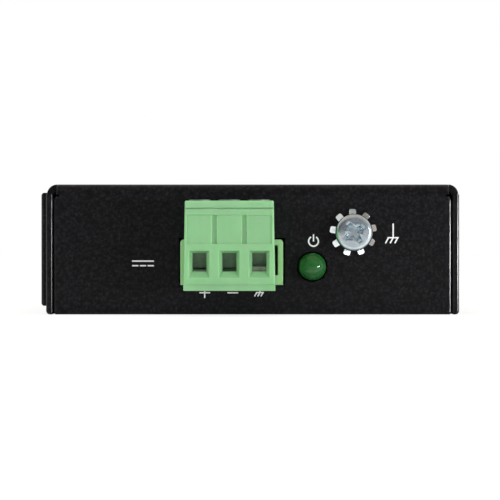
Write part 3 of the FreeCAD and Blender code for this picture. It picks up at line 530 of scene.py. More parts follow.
# Lighter than the plug's green: partly the header's own tint, partly painted light that offsets the shade the
# plug casts on it.
LIFTED_HEADER_GREEN = Moulded(
    "header_green", (0.395, 0.675, 0.340), (0.370, 0.640, 0.318), rough=0.44, gloss=0.35, scatter=1.0
)
TERMINAL_GREEN = Moulded(
    "terminal_green", (0.308, 0.590, 0.310), (0.288, 0.555, 0.290), rough=0.44, gloss=0.35, scatter=1.0
)
PORT_BLACK = Moulded("port_black", (0.022, 0.022, 0.023), (0.015, 0.015, 0.016), rough=0.40)
CHIP_BLACK = Moulded(
    "chip_black", (0.030, 0.030, 0.032), (0.020, 0.020, 0.021), rough=0.60, gloss=0.3, grain=3800.0
)
FERRITE = Moulded(
    "ferrite", (0.080, 0.080, 0.084), (0.050, 0.050, 0.053), rough=0.72, gloss=0.3, grain=2600.0
)
CERAMIC = Moulded("ceramic_tan", (0.50, 0.36, 0.22), (0.42, 0.29, 0.17), rough=0.50)
LAMP_RESIN = TintedResin("lamp_resin", (0.026, 0.215, 0.040), (0.018, 0.140, 0.027), clear=0.35, rough=0.06)
GREEN_WINDOW = TintedResin("green_window", (0.42, 0.62, 0.36), (0.36, 0.54, 0.30), clear=0.45, rough=0.22)
AMBER_WINDOW = TintedResin("amber_window", (0.72, 0.56, 0.24), (0.62, 0.46, 0.18), clear=0.45, rough=0.22)
FILM = TintedResin("clear_film", (0.62, 0.63, 0.58), (0.56, 0.57, 0.52), clear=0.6, rough=0.25)
BOARD = SolderMask()
INK = PrintInk()


class Bench:
    """Hand tools for one mesh at a time: select, shape, finish and hand over to a body."""

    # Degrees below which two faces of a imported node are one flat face.
    flat_turn: float = 0.5
    # How much more a large face counts than a small one where shading is smoothed.
    flat_weight: int = 80
    # An odd share of a turn, so that no cut across a thread runs through a ring of points.
    thread_start: float = 1.637
    thread_crest: Span = (0.45, 0.55)
    thread_spare: int = 4
    thread_steps: int = 36

    def __init__(self, nodes: dict[str, Thing]) -> None:
        """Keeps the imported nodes, with the slot that each one came with."""
        self.nodes = nodes
        self.slots = {name: node.active_material.name for name, node in nodes.items()}

    def hold(self, piece: Thing) -> None:
        """Makes a piece the only one selected, and active.

        Args:
            piece: the piece that the next operators act on.
        """
        bpy.ops.object.select_all(action="DESELECT")
        piece.select_set(True)
        bpy.context.view_layer.objects.active = piece

    @contextmanager
    def editing(self, piece: Thing) -> Iterator[None]:
        """Goes into edit mode on one piece, with all of it selected, and out again.

        Args:
            piece: the piece to edit.

        Returns:
            A context that is in edit mode.
        """
        self.hold(piece)
        bpy.ops.object.mode_set(mode="EDIT")
        bpy.ops.mesh.select_mode(type="VERT")
        bpy.ops.mesh.select_all(action="SELECT")
        yield
        bpy.ops.object.mode_set(mode="OBJECT")

    def pick(self, piece: Thing, part: Part, test: Callable[[Any], bool]) -> int:
        """Selects what passes a test, and nothing else, in edit mode.

        Args:
            piece: the piece in edit mode.
            part: edges or faces.
            test: says whether one of them is wanted.

        Returns:
            How many were selected.
        """
        bpy.ops.mesh.select_mode(type=part.value)
        bpy.ops.mesh.select_all(action="DESELECT")
        mesh = bmesh.from_edit_mesh(piece.data)
        group = mesh.edges if part is Part.EDGE else mesh.faces
        chosen = [element for element in group if test(element)]
        for element in chosen:
            element.select_set(True)
        bmesh.update_edit_mesh(piece.data)
        return len(chosen)

    def modify(self, piece: Thing, kind: str, **settings: Any) -> None:
        """Adds a modifier and applies it.

        Args:
            piece: the piece that it changes.
            kind: the modifier's type.
            settings: its settings, by name.
        """
        self.hold(piece)
        modifier = piece.modifiers.new(kind.lower(), kind)
        for key, setting in settings.items():
            setattr(modifier, key, setting)
        bpy.ops.object.modifier_apply(modifier=modifier.name)

    def weld(self, piece: Thing) -> None:
        """Merges points that meet, and turns the faces outwards.

        Args:
            piece: the closed mesh.
        """
        with self.editing(piece):
            bpy.ops.mesh.remove_doubles(threshold=WELD)
            bpy.ops.mesh.normals_make_consistent(inside=False)

    def put(self, piece: Thing, place: Matrix) -> None:
        """Moves a piece to its place and keeps the place in its mesh.

        Args:
            piece: the piece, at the origin.
            place: where it goes and how it is turned.
        """
        self.hold(piece)
        piece.matrix_world = place
        bpy.ops.object.transform_apply(location=True, rotation=True, scale=True)

    def round_edges(self, piece: Thing, width: float, segments: int = 2, angle: float = 35.0) -> None:
        """Rounds every edge that is sharper than an angle.

        Args:
            piece: the piece to round.
            width: the width of the rounding on each side of an edge.
            segments: the steps across the rounding.
            angle: the angle in degrees.
        """
        self.modify(
            piece,
            "BEVEL",
            limit_method="ANGLE",
            angle_limit=math.radians(angle),
            offset_type="ABSOLUTE",
            width=width,
            segments=segments,
            use_clamp_overlap=False,
        )

    def shade(self, piece: Thing, angle: float = 38.0) -> None:
        """Smooths the shading below an angle, with flat faces kept flat.

        Args:
            piece: the finished mesh.
            angle: the angle in degrees.
        """
        self.hold(piece)
        bpy.ops.object.shade_smooth_by_angle(angle=math.radians(angle))
        self.modify(piece, "WEIGHTED_NORMAL", mode="FACE_AREA", weight=self.flat_weight, keep_sharp=True)

    def line(self, name: str, points: Sequence[Point]) -> Thing:
        """Draws an open line of edges, by extruding one point from place to place.

        Args:
            name: the new piece's name.
            points: the places, in order.

        Returns:
            The line.
        """
        bpy.ops.object.select_all(action="DESELECT")
        bpy.ops.mesh.primitive_plane_add(size=MM)
        piece = bpy.context.active_object
        piece.name = name
        piece.data.name = name
        with self.editing(piece):
            bpy.ops.mesh.merge(type="CENTER")
            bpy.ops.transform.translate(value=points[0])
            for start, end in zip(points, points[1:]):
                step = Vector(end) - Vector(start)
                bpy.ops.mesh.extrude_region_move(TRANSFORM_OT_translate={"value": step})
        return piece

    def prism(self, name: str, outline: Sequence[Point], rise: Point) -> Thing:
        """Fills a closed outline and draws it out along one direction.

        Args:
            name: the new piece's name.
            outline: the outline's corners, in order.
            rise: how far and which way it is drawn out.

        Returns:
            The solid.
        """
        piece = self.line(name, [*outline, outline[0]])
        with self.editing(piece):
            bpy.ops.mesh.remove_doubles(threshold=WELD)
            bpy.ops.mesh.select_all(action="SELECT")
            bpy.ops.mesh.edge_face_add()
            bpy.ops.mesh.extrude_region_move(TRANSFORM_OT_translate={"value": rise})
        self.weld(piece)
        return piece

    def turned(self, name: str, profile: Sequence[Spot], steps: int = 64) -> Thing:
        """Spins a profile round Z.

        Args:
            name: the new piece's name.
            profile: the profile's radii and heights, in order.
            steps: the steps in a full turn.

        Returns:
            The turned solid.
        """
        piece = self.line(name, [(radius, 0.0, height) for radius, height in profile])
        with self.editing(piece):
            bpy.ops.mesh.spin(steps=steps, angle=FULL_TURN, center=(0, 0, 0), axis=(0, 0, 1))
        self.weld(piece)
        return piece

    def threaded(self, name: str, root: float, crest: float, pitch: float, length: float) -> Thing:
        """Makes a threaded rod below the origin, along Z, with flat ends.

        Args:
            name: the new piece's name.
            root: the radius at the thread's root.
            crest: the radius at the thread's crest.
            pitch: the rise in one turn.
            length: the rod's length.

        Returns:
            The rod.
        """
        low = -length - self.thread_start * pitch
        crests = [(crest, low + share * pitch) for share in self.thread_crest]
        profile = [(root, low), *crests, (root, low + pitch)]
        piece = self.line(name, [(radius, 0.0, height) for radius, height in profile])
        self.modify(
            piece,
            "SCREW",
            axis="Z",
            angle=FULL_TURN,
            screw_offset=pitch,
            iterations=math.ceil(length / pitch) + self.thread_spare,
            steps=self.thread_steps,
            render_steps=self.thread_steps,
        )
        self.weld(piece)
        for level, side in ((0.0, 1.0), (-length, -1.0)):
            with self.editing(piece):
                bpy.ops.mesh.bisect(
                    plane_co=(0, 0, level),
                    plane_no=(0, 0, side),
                    threshold=WELD,
                    use_fill=True,
                    clear_outer=True,
                )
        self.weld(piece)
        return piece

    def combine(self, piece: Thing, other: Thing, solid: Solid) -> None:
        """Adds another solid to a piece, or cuts it away, and removes the other."""
        self.modify(piece, "BOOLEAN", operation=solid.value, solver="EXACT", object=other)
        bpy.data.objects.remove(other)

    def join(self, piece: Thing, others: Sequence[Thing]) -> None:
        """Makes several meshes one piece.

        Args:
            piece: the piece that takes the others in.
            others: the pieces that go into it.
        """
        self.hold(piece)
        for other in others:
            other.select_set(True)
        bpy.ops.object.join()

    def repeated(self, piece: Thing, name: str, shift: Vector) -> Thing:
        """Copies a piece to another place, with a mesh of its own.

        Args:
            piece: the piece to copy.
            name: the copy's name.
            shift: how far and which way the copy is from the piece.

        Returns:
            The copy.
        """
        copy = bpy.data.objects.new(name, piece.data.copy())
        copy.data.name = name
        bpy.context.scene.collection.objects.link(copy)
        self.put(copy, Matrix.Translation(shift))
        return copy

    def softened(self, node: str, edge: float, finish: Finish, segments: int = 2) -> Thing:
        """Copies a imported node, rounds its sharp edges and puts it in the node's place.

        Args:
            node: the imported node's name.
            edge: the width of the rounding.
            finish: what the copy is dressed in.
            segments: the steps across the rounding.

        Returns:
            The finished piece, which stands for the node.
        """
        piece = self.copied(node)
        self.round_edges(piece, edge, segments)
        self.keep_inside(piece, node)
        self.shade(piece)
        return self.hand_over(piece, finish, node)

    def keep_inside(self, piece: Thing, node: str) -> None:
        """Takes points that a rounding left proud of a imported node's box back to its faces.

        Args:
            piece: the rounded copy.
            node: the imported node's name.
        """
        low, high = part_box(node)
        with self.editing(piece):
            mesh = bmesh.from_edit_mesh(piece.data)
            for point in mesh.verts:
                point.co = [min(max(value, least), most) for value, least, most in zip(point.co, low, high)]
            bmesh.update_edit_mesh(piece.data)

    def mark(self, piece: Thing, name: str, amount: Callable[[bmesh.types.BMFace], float]) -> None:
        """Writes an amount to an attribute of each face.

        Args:
            piece: the piece to mark.
            name: the attribute's name.
            amount: works out one face's amount.
        """
        with self.editing(piece):
            mesh = bmesh.from_edit_mesh(piece.data)
            layer = mesh.faces.layers.float.new(name)
            for face in mesh.faces:
                face[layer] = amount(face)
            bmesh.update_edit_mesh(piece.data)

    def copied(self, node: str) -> Thing:
        """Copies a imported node, welds the copy and makes its flat faces whole.

        Args:
            node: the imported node's name.

        Returns:
            The copy.
        """
        piece = bpy.data.objects.new(f"{node}_shape", self.nodes[node].data.copy())
        bpy.context.scene.collection.objects.link(piece)
        self.hold(piece)
        bpy.ops.mesh.customdata_custom_splitnormals_clear()
        with self.editing(piece):
            bpy.ops.mesh.remove_doubles(threshold=WELD)
            bpy.ops.mesh.dissolve_limited(angle_limit=math.radians(self.flat_turn))
        return piece

    def hand_over(self, piece: Thing, finish: Finish, node: str, body: str = "") -> Thing:
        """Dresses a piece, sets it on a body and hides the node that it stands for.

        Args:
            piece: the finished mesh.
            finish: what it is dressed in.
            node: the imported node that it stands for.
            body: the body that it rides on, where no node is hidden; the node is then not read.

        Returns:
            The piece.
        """
        piece.data.materials.clear()
        piece.data.materials.append(finish.material())
        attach(piece, body or self.nodes[node]["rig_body"])
        if not body:
            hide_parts(node)
        LOG.info("%s: %d faces, %s", piece.name, len(piece.data.polygons), finish.name)
        return piece

    def dressed(self, node: str, finish: Finish) -> None:
        """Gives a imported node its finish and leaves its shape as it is.

        Args:
            node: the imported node's name.
            finish: what it is dressed in.
        """
        for slot in self.nodes[node].material_slots:
            slot.material = finish.material()
        LOG.info("%s: as packed, %s", node, finish.name)


@dataclass
class CaseShell:
    """The folded cover, the base that closes it, the plate on its left side and their fastenings."""

    bench: Bench
    sheet_edge: float = 0.26 * MM
    plate_edge: float = 0.13 * MM
    edge_steps: int = 3
    bead_width: float = 0.20 * MM
    plain_edge_sheen: float = 0.12
    lit_side_sheen: float = 0.32
    # A face this square to an axis is flat, and one that leans this much to +X has the full gloss, a painted
    # highlight from the key lamp on that side.
    square: float = 0.995
    lean: float = 0.05
    screw_edge: float = 0.07 * MM

    def build(self) -> None:
        """Builds and dresses the shell."""
        sheets = {"cover": self.sheet_edge, "base_plate": self.plate_edge, "mounting_plate": self.plate_edge}
        for node, edge in sheets.items():
            sheet = self.bench.softened(node, edge, CASE_PAINT, self.edge_steps)
            self.bench.mark(sheet, CASE_PAINT.bead, self.bead)
        for node in ("base_screws", "plate_screws"):
            self.bench.softened(node, self.screw_edge, BLACK_STEEL)
        for node in ("cover_posts", "board_spacers", "plate_nuts"):
            self.bench.softened(node, self.screw_edge, ZINC)

    def bead(self, face: bmesh.types.BMFace) -> float:
        """Works out the edge gloss: none off the rounded edges, and most on those to +X, a painted highlight
        towards the key lamp.

        Args:
            face: one face of a sheet.

        Returns:
            The edge's share of a full gloss, painted highlight included.
        """
        width = face.calc_area() / max(edge.calc_length() for edge in face.edges)
        if width > self.bead_width or max(abs(part) for part in face.normal) > self.square:
            return 0.0
        # Edges on the +X side face the key lamp, so they get more gloss: a painted highlight.
        full = face.normal.x > self.lean and face.calc_center_median().x > 0
        return self.lit_side_sheen if full else self.plain_edge_sheen


@dataclass
class NetworkPorts:
    """Five shielded ports with sprung contacts, side springs and two lamp windows each."""

    bench: Bench
    sheet_edge: float = 0.05 * MM
    moulded_edge: float = 0.15 * MM
    wire_edge: float = 0.05 * MM
    window_edge: float = 0.18 * MM
    window_steps: int = 3
    socket_half: float = 5.9 * MM
    spring_sheet: float = 0.14 * MM
    spring_height: float = 2.0 * MM
    spring_level: float = 10.2 * MM
    spring_edge: float = 0.03 * MM
    spring_angle: float = 60.0
    # How far each bend is behind the shield's front and in from the socket's side, in millimetres.
    spring_bends: tuple[Spot, ...] = (
        (0.3, 0.05),
        (1.0, 0.12),
        (2.4, 0.75),
        (3.4, 0.85),
        (5.2, 0.35),
        (5.9, 0.30),
    )

    def build(self) -> None:
        """Builds and dresses the five ports."""
        springs = None
        for port in PORTS:
            self.bench.softened(f"port_{port}_shield", self.sheet_edge, SHIELD)
            self.bench.softened(f"port_{port}_housing", self.moulded_edge, PORT_BLACK)
            self.bench.softened(f"port_{port}_contacts", self.wire_edge, GOLD)
            self.build_windows(port)
            springs = self.build_springs(port, springs)

    def build_windows(self, port: int) -> None:
        """Builds the two lamp windows, each a piece of its own.

        Args:
            port: the port's number.
        """
        node = f"port_{port}_lights"
        low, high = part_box(node)
        middle = (low.y + high.y) / 2
        for side, finish in ((-1, GREEN_WINDOW), (1, AMBER_WINDOW)):
            piece = self.bench.copied(node)
            piece.name = f"port_{port}_window_{finish.name.split('_')[0]}"
            with self.bench.editing(piece):
                self.bench.pick(
                    piece, Part.FACE, lambda face: (face.calc_center_median().y - middle) * side < 0
                )
                bpy.ops.mesh.delete(type="FACE")
            self.bench.round_edges(piece, self.window_edge, self.window_steps)
            self.bench.shade(piece)
            self.bench.hand_over(piece, finish, node)

    def build_springs(self, port: int, model: Thing | None) -> Thing:
        """Builds a port's springs: bent from sheet for the first port, and copied for the others.

        Args:
            port: the port's number.
            model: the first port's springs, once they are there.

        Returns:
            The first port's springs.
        """
        node = f"port_{port}_shield"
        if model is None:
            model = pair = self.bend_springs(port)
        else:
            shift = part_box(node)[0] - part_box(f"port_{PORTS[0]}_shield")[0]
            pair = self.bench.repeated(model, f"port_{port}_springs", shift)
        self.bench.hand_over(pair, SHIELD, node, CHASSIS)
        return model

    def bend_springs(self, port: int) -> Thing:
        """Bends the two springs that grip a plug's sides from the shield's sheet.

        Args:
            port: the port's number.

        Returns:
            Both springs, as one piece.
        """
        low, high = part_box(f"port_{port}_shield")
        middle = (low.y + high.y) / 2
        springs = []
        for side in (-1, 1):
            points = [
                (high.x - back * MM, middle + side * (self.socket_half - inward * MM), self.spring_level)
                for back, inward in self.spring_bends
            ]
            spring = self.bench.line(f"port_{port}_springs", points)
            with self.bench.editing(spring):
                bpy.ops.mesh.extrude_region_move(TRANSFORM_OT_translate={"value": (0, 0, self.spring_height)})
            self.bench.modify(spring, "SOLIDIFY", thickness=self.spring_sheet, offset=0.0)
            springs.append(spring)
        pair = springs[0]
        self.bench.join(pair, springs[1:])
        self.bench.weld(pair)
        self.bench.round_edges(pair, self.spring_edge, segments=1, angle=self.spring_angle)
        self.bench.shade(pair)
        return pair


@dataclass
class PowerTerminal:
    """The green header on the board and the plug with its three screw clamps."""

    bench: Bench
    moulded_edge: float = 0.11 * MM
    metal_edge: float = 0.07 * MM
    screw_edge: float = 0.14 * MM

    def build(self) -> None:
        """Builds and dresses header, plug and clamps."""
        self.bench.softened("power_header", self.moulded_edge, LIFTED_HEADER_GREEN)
        self.bench.softened("plug_body", self.moulded_edge, TERMINAL_GREEN)
        self.bench.softened("header_pins", self.metal_edge, TINNED)
        self.bench.softened("plug_contacts", self.metal_edge, TIN_WITH_PAINTED_GREEN)
        for pole in POLES:
            self.bench.softened(f"clamp_cage_{pole}", self.metal_edge, NICKEL_WITH_PAINTED_GREEN)
            self.bench.softened(f"clamp_screw_{pole}", self.screw_edge, SHADED_ZINC)


@dataclass
class IndicatorLamp:
    """The green lamp: cast lens, the frame inside it, its leads and the block that carries it."""

    bench: Bench
    radius: float = 2.4 * MM
    flange: float = 2.9 * MM
    flange_thick: float = 1.0 * MM
    chamfer: float = 0.08 * MM
    tip: float = 0.1 * MM
    arc_steps: int = 14
    lens_angle: float = 50.0
    # The cup's radii and heights, each post's left side, right side and top, and their foot, in millimetres.
    cup: tuple[Spot, ...] = ((0, 2.6), (0.75, 2.6), (0.95, 4.3), (0.8, 4.3), (0.45, 3.75), (0, 3.75))
    cup_steps: int = 32
    posts: tuple[Point, ...] = ((-1.55, 0.35, 2.7), (0.95, 1.5, 3.9))
    post_foot: float = 0.2
    post_thick: float = 0.5 * MM
    frame_edge: float = 0.05 * MM
    holder_edge: float = 0.12 * MM
    lead_edge: float = 0.05 * MM

    def build(self) -> None:
        """Builds and dresses the lamp."""
        low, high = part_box("power_led")
        place = Matrix.Translation(((low.x + high.x) / 2, high.y, (low.z + high.z) / 2))
        place = place @ Matrix.Rotation(QUARTER_TURN, 4, "X")
        self.build_lens(high.y - low.y, place)
        self.build_frame(place)
        self.bench.softened("led_holder", self.holder_edge, PORT_BLACK)
        self.bench.softened("led_leads", self.lead_edge, TINNED)

    def build_lens(self, length: float, place: Matrix) -> None:
        """Builds the lens: flange, barrel and dome in one casting.

        Args:
            length: from the flange's back to the dome's tip.
            place: where the flange's back goes, with Z towards the dome.
        """
        dome = self.radius - self.tip
        profile = [
            (0.0, 0.0),
            (self.flange - self.chamfer, 0.0),
            (self.flange, self.chamfer),
            (self.flange, self.flange_thick - self.chamfer),
            (self.flange - self.chamfer, self.flange_thick),
            (self.radius + self.chamfer, self.flange_thick),
            (self.radius, self.flange_thick + self.chamfer),
        ]
        for step in range(self.arc_steps):
            angle = QUARTER_TURN * step / self.arc_steps
            profile.append((self.tip + dome * math.cos(angle), length - dome + dome * math.sin(angle)))
        profile.append((0.0, length))
        lens = self.bench.turned("lamp_lens", profile)
        self.bench.put(lens, place)
        self.bench.shade(lens, self.lens_angle)
        self.bench.hand_over(lens, LAMP_RESIN, "power_led")

    def build_frame(self, place: Matrix) -> None:
        """Builds the metal inside the lens: a post with the light's cup, and the thinner post beside it.

        Args:
            place: where the flange's back goes, with Z towards the dome.
        """
        cup = self.bench.turned("lamp_frame", [(x * MM, z * MM) for x, z in self.cup], self.cup_steps)
        posts = []
        for left, right, top in self.posts:
            corners = ((left, self.post_foot), (right, self.post_foot), (right, top), (left, top))
            outline = [(x * MM, -self.post_thick / 2, z * MM) for x, z in corners]
            posts.append(self.bench.prism("lamp_post", outline, (0, self.post_thick, 0)))
        self.bench.join(cup, posts)
        self.bench.put(cup, place)
        self.bench.round_edges(cup, self.frame_edge)
        self.bench.shade(cup)
        self.bench.hand_over(cup, TINNED, "led_leads", CHASSIS)


@dataclass
class GroundPoint:
    """The ground screw with its toothed washer, and the nut behind the panel."""

    bench: Bench
    head: float = 3.25 * MM
    head_height: float = 2.4 * MM
    head_round: float = 0.85 * MM
    head_chamfer: float = 0.1 * MM
    head_steps: int = 72
    arc_steps: int = 10
    crown: float = 0.12 * MM
    crown_shares: Span = (0.7, 0.35)
    shank: float = 1.92 * MM
    shank_root: float = 1.55 * MM
    pitch: float = 0.7 * MM
    arm: float = 2.05 * MM
    arm_width: float = 0.92 * MM
    throat: float = 1.5
    recess: float = 1.5 * MM
    recess_over: float = 0.3 * MM
    recess_turn: float = 33.0
    recess_taper: float = 0.5
    facing_down: float = -0.9
    recess_edge: float = 0.07 * MM
    recess_angle: float = 28.0
    tooth_corner: float = 0.25 * MM
    tooth_thick: Span = (0.35 * MM, 0.65 * MM)
    tooth_round: float = 0.28 * MM
    tooth_steps: int = 4
    washer_edge: float = 0.07 * MM
    nut_edge: float = 0.12 * MM

    def build(self) -> None:
        """Builds and dresses screw, washer and nut."""
        self.build_screw()
        self.build_washer()
        self.bench.softened("ground_nut", self.nut_edge, ZINC)

    def build_screw(self) -> None:
        """Builds the pan head with its cross recess, on a threaded shank."""
        low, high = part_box("ground_screw")
        screw = self.build_head()
        length = high.y - low.y - self.head_height
        shank = self.bench.threaded("ground_shank", self.shank_root, self.shank, self.pitch, length)
        self.bench.join(screw, [shank])
        place = Matrix.Translation(((low.x + high.x) / 2, low.y + self.head_height, (low.z + high.z) / 2))
        self.bench.put(screw, place @ Matrix.Rotation(QUARTER_TURN, 4, "X"))
        self.bench.shade(screw)
        self.bench.hand_over(screw, ZINC, "ground_screw")

    def build_washer(self) -> None:
        """Builds the toothed washer, its teeth rounded at their outer corners."""
        low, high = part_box("ground_washer")
        middle = (low + high) / 2
        rim = (high.x - low.x) / 2 - self.tooth_corner
        least, most = self.tooth_thick

        def outer(edge: bmesh.types.BMEdge) -> bool:
            """Whether an edge goes across a tooth's thickness, at its outer corner."""
            far = all(math.hypot(end.co.x - middle.x, end.co.z - middle.z) > rim for end in edge.verts)
            return far and least < edge.calc_length() < most

        washer = self.bench.copied("ground_washer")
        with self.bench.editing(washer):
            found = self.bench.pick(washer, Part.EDGE, outer)
            bpy.ops.mesh.bevel(offset=self.tooth_round, segments=self.tooth_steps, affect="EDGES")
        LOG.info("ground_washer: %d corners rounded", found)
        self.bench.round_edges(washer, self.washer_edge)
        self.bench.keep_inside(washer, "ground_washer")
        self.bench.shade(washer)
        self.bench.hand_over(washer, BRIGHT_ZINC, "ground_washer")

    def build_head(self) -> Thing:
        """Turns the head, cuts its recess and eases the recess's edges.

        Returns:
            The head, with its underside at the origin and Z towards its crown.
        """
        inner = self.head - self.head_round
        shoulder = self.head_height - self.crown - self.head_round
        profile = [(0.0, 0.0), (self.head - self.head_chamfer, 0.0), (self.head, self.head_chamfer)]
        for step in range(self.arc_steps + 1):
            angle = QUARTER_TURN * step / self.arc_steps
            out = self.head - self.head_round * (1 - math.cos(angle))
            profile.append((out, shoulder + self.head_round * math.sin(angle)))
        for share in self.crown_shares:
            profile.append((inner * share, self.head_height - self.crown * share * share))
        profile.append((0.0, self.head_height))
        head = self.bench.turned("ground_screw_metal", profile, self.head_steps)
        self.bench.combine(head, self.build_cutter(), Solid.CUT)
        self.bench.round_edges(head, self.recess_edge, angle=self.recess_angle)
        return head

    def build_cutter(self) -> Thing:
        """Builds the tapered cross that the recess is cut with.

        Returns:
            The cross, in the head's place.
        """
        half = self.arm_width / 2
        quarter = [(self.arm, -half), (self.arm, half), (half * self.throat, half * self.throat)]
        top = self.head_height + self.recess_over
        bottom = self.head_height - self.recess
        outline = []
        for corner in range(4):
            turn = Matrix.Rotation(math.radians(self.recess_turn + 90 * corner), 3, "Z")
            outline += [tuple(turn @ Vector((x, y, top))) for x, y in quarter]
        cutter = self.bench.prism("recess_cutter", outline, (0, 0, bottom - top))
        with self.bench.editing(cutter):
            self.bench.pick(cutter, Part.FACE, lambda face: face.normal.z < self.facing_down)
            narrow = (self.recess_taper, self.recess_taper, 1.0)
            bpy.ops.transform.resize(value=narrow, center_override=(0, 0, bottom))
        return cutter


@dataclass
class BoardInside:
    """What the closed case holds: the board, the film below it and the parts on it."""

    bench: Bench

    def build(self) -> None:
        """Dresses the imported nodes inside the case."""
        self.bench.dressed("circuit_board", BOARD)
        self.bench.dressed("insulating_sheet", FILM)
        for node in ("switch_chip", "memory_chip", "regulator_chip", "surge_diode", "fuse"):
            self.bench.dressed(node, CHIP_BLACK)
        for node in ("bulk_capacitors", "crystal"):
            self.bench.dressed(node, CAN_METAL)
        self.bench.dressed("power_inductor", FERRITE)
        self.bench.dressed("chip_capacitors", CERAMIC)


@dataclass(frozen=True)
class EarthSign:
    """Where one ground sign is printed and how large it is, in millimetres on the panel."""

    name: str
    x: float
    top: float
    bar: float
    half: float
    drop: float
    # Shares of half the bar: how far the outer legs are from the middle one, and how far each leg slants.
    leg_place: float = 0.92
    leg_slant: float = 0.55


@dataclass
class PanelPrint:
    """White symbols on the power end; their places are in millimetres on the panel."""

    bench: Bench
    thick: float = 0.02 * MM
    sunk: float = 0.02 * MM
    layer: float = 0.003 * MM
    seam: float = 4 * WELD
    stroke: float = 0.24 * MM
    cap_steps: int = 5
    earths: tuple[EarthSign, ...] = (
        EarthSign("print_earth", x=24.47, top=15.75, bar=13.37, half=0.88, drop=0.88),
        EarthSign("print_pole_earth", x=1.26, top=4.45, bar=3.82, half=0.60, drop=0.58),
    )
    plus_bar: tuple[Spot, Spot] = ((-9.2, 3.79), (-7.5, 3.79))
    plus_stem: tuple[Spot, Spot] = ((-8.35, 4.62), (-8.35, 2.98))
    minus_bar: tuple[Spot, Spot] = ((-4.30, 3.78), (-2.60, 3.78))
    ring_middle: Spot = (10.6, 12.75)
    ring_radii: Span = (0.72, 0.98)
    ring_start: float = 60.0
    ring_turn: float = 300.0
    ring_steps: int = 40
    ring_bar: tuple[Spot, Spot] = ((10.6, 12.80), (10.6, 13.85))
    supply_bar: tuple[Spot, Spot] = ((-20.9, 9.3), (-17.3, 9.3))
    supply_dash: tuple[Spot, Spot] = ((-20.9, 8.5), (-20.0, 8.5))
    dash_step: float = 1.35 * MM
    dash_count: int = 3

    def build(self) -> None:
        """Prints every symbol."""
        for sign in self.earths:
            self.build_earth(sign)
        self.build_poles()
        self.build_lamp_sign()
        self.build_supply_sign()

    def back(self) -> float:
        """How far along Y the back of the print is, just inside the cover's power end."""
        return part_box("cover")[0].y + self.sunk

    def strip(self, name: str, start: Spot, end: Spot) -> Thing:
        """Makes one stroke with round ends.

        Args:
            name: the new piece's name.
            start: where it starts on the panel, in millimetres.
            end: where it ends.

        Returns:
            The stroke.
        """
        first = Vector(start) * MM
        last = Vector(end) * MM
        along = (last - first).normalized()
        back = self.back()
        outline = []
        for middle, heading in ((last, along), (first, -along)):
            for step in range(self.cap_steps + 1):
                turn = Matrix.Rotation(math.pi * (step / self.cap_steps - 0.5), 2)
                spot = middle + turn @ heading * (self.stroke / 2)
                outline.append((spot.x, back, spot.y))
        return self.bench.prism(name, outline, (0, -self.thick - self.sunk, 0))

    def printed(self, strips: Sequence[Thing]) -> None:
        """Makes strokes that cross one solid, each a thin layer over the last, and dresses it.

        Args:
            strips: the strokes; the first one names the piece.
        """
        sign = strips[0]
        for layer, other in enumerate(strips[1:], 1):
            self.bench.put(other, Matrix.Translation((0, -layer * self.layer, 0)))
            self.bench.combine(sign, other, Solid.ADD)
        with self.bench.editing(sign):
            bpy.ops.mesh.remove_doubles(threshold=self.seam)
            bpy.ops.mesh.dissolve_degenerate(threshold=self.seam)
            bpy.ops.mesh.delete_loose()
            bpy.ops.mesh.normals_make_consistent(inside=False)
        self.bench.shade(sign)
        self.bench.hand_over(sign, INK, "cover", CHASSIS)

    def build_earth(self, sign: EarthSign) -> None:
        """Prints a ground sign: a stem on a bar with three slanting legs.

        Args:
            sign: the sign's name, place and size.
        """
        stem = self.strip(sign.name, (sign.x, sign.top), (sign.x, sign.bar))
        bar = self.strip("bar", (sign.x - sign.half, sign.bar), (sign.x + sign.half, sign.bar))
        foot = (sign.x - sign.leg_slant * sign.half, sign.bar - sign.drop)
        leg = self.strip("leg", (sign.x, sign.bar), foot)
        shift = Vector((sign.leg_place * sign.half * MM, 0, 0))
        left, right = (self.bench.repeated(leg, "leg", way * shift) for way in (-1, 1))
        self.printed([stem, bar, left, leg, right])

    def build_poles(self) -> None:
        """Prints plus and minus below the terminal's poles."""
        self.printed([self.strip("print_plus", *self.plus_bar), self.strip("stem", *self.plus_stem)])
        self.printed([self.strip("print_minus", *self.minus_bar)])

    def build_lamp_sign(self) -> None:
        """Prints a broken ring with a bar, over the lamp."""
        x, z = self.ring_middle
        ring = self.bench.line("print_power", [(radius * MM, 0, 0) for radius in self.ring_radii])
        turn = math.radians(self.ring_turn)
        rise = (0, 0, self.thick + self.sunk)
        with self.bench.editing(ring):
            bpy.ops.mesh.spin(steps=self.ring_steps, angle=turn, center=(0, 0, 0), axis=(0, 0, 1))
            bpy.ops.mesh.select_all(action="SELECT")
            bpy.ops.mesh.extrude_region_move(TRANSFORM_OT_translate={"value": rise})
        self.bench.weld(ring)
        place = Matrix.Translation((x * MM, self.back(), z * MM))
        upright = place @ Matrix.Rotation(QUARTER_TURN, 4, "X")
        self.bench.put(ring, upright @ Matrix.Rotation(math.radians(self.ring_start), 4, "Z"))
        self.bench.join(ring, [self.strip("bar", *self.ring_bar)])
        self.bench.shade(ring)
        self.bench.hand_over(ring, INK, "cover", CHASSIS)

    def build_supply_sign(self) -> None:
        """Prints a long bar over three short ones, beside the terminal."""
        bar = self.strip("print_supply", *self.supply_bar)
        dash = self.strip("dash", *self.supply_dash)
        shifts = [Vector((self.dash_step * step, 0, 0)) for step in range(1, self.dash_count)]
        self.bench.join(bar, [dash, *(self.bench.repeated(dash, "dash", shift) for shift in shifts)])
        self.printed([bar])


@dataclass(frozen=True)
class Lamp:
    """A soft studio lamp, placed round the power end by two angles in degrees."""

    name: str
    right: float
    up: float
    distance: float
    width: float
    height: float
    watts: float
    tint: Colour = WHITE
    mirrored: bool = True


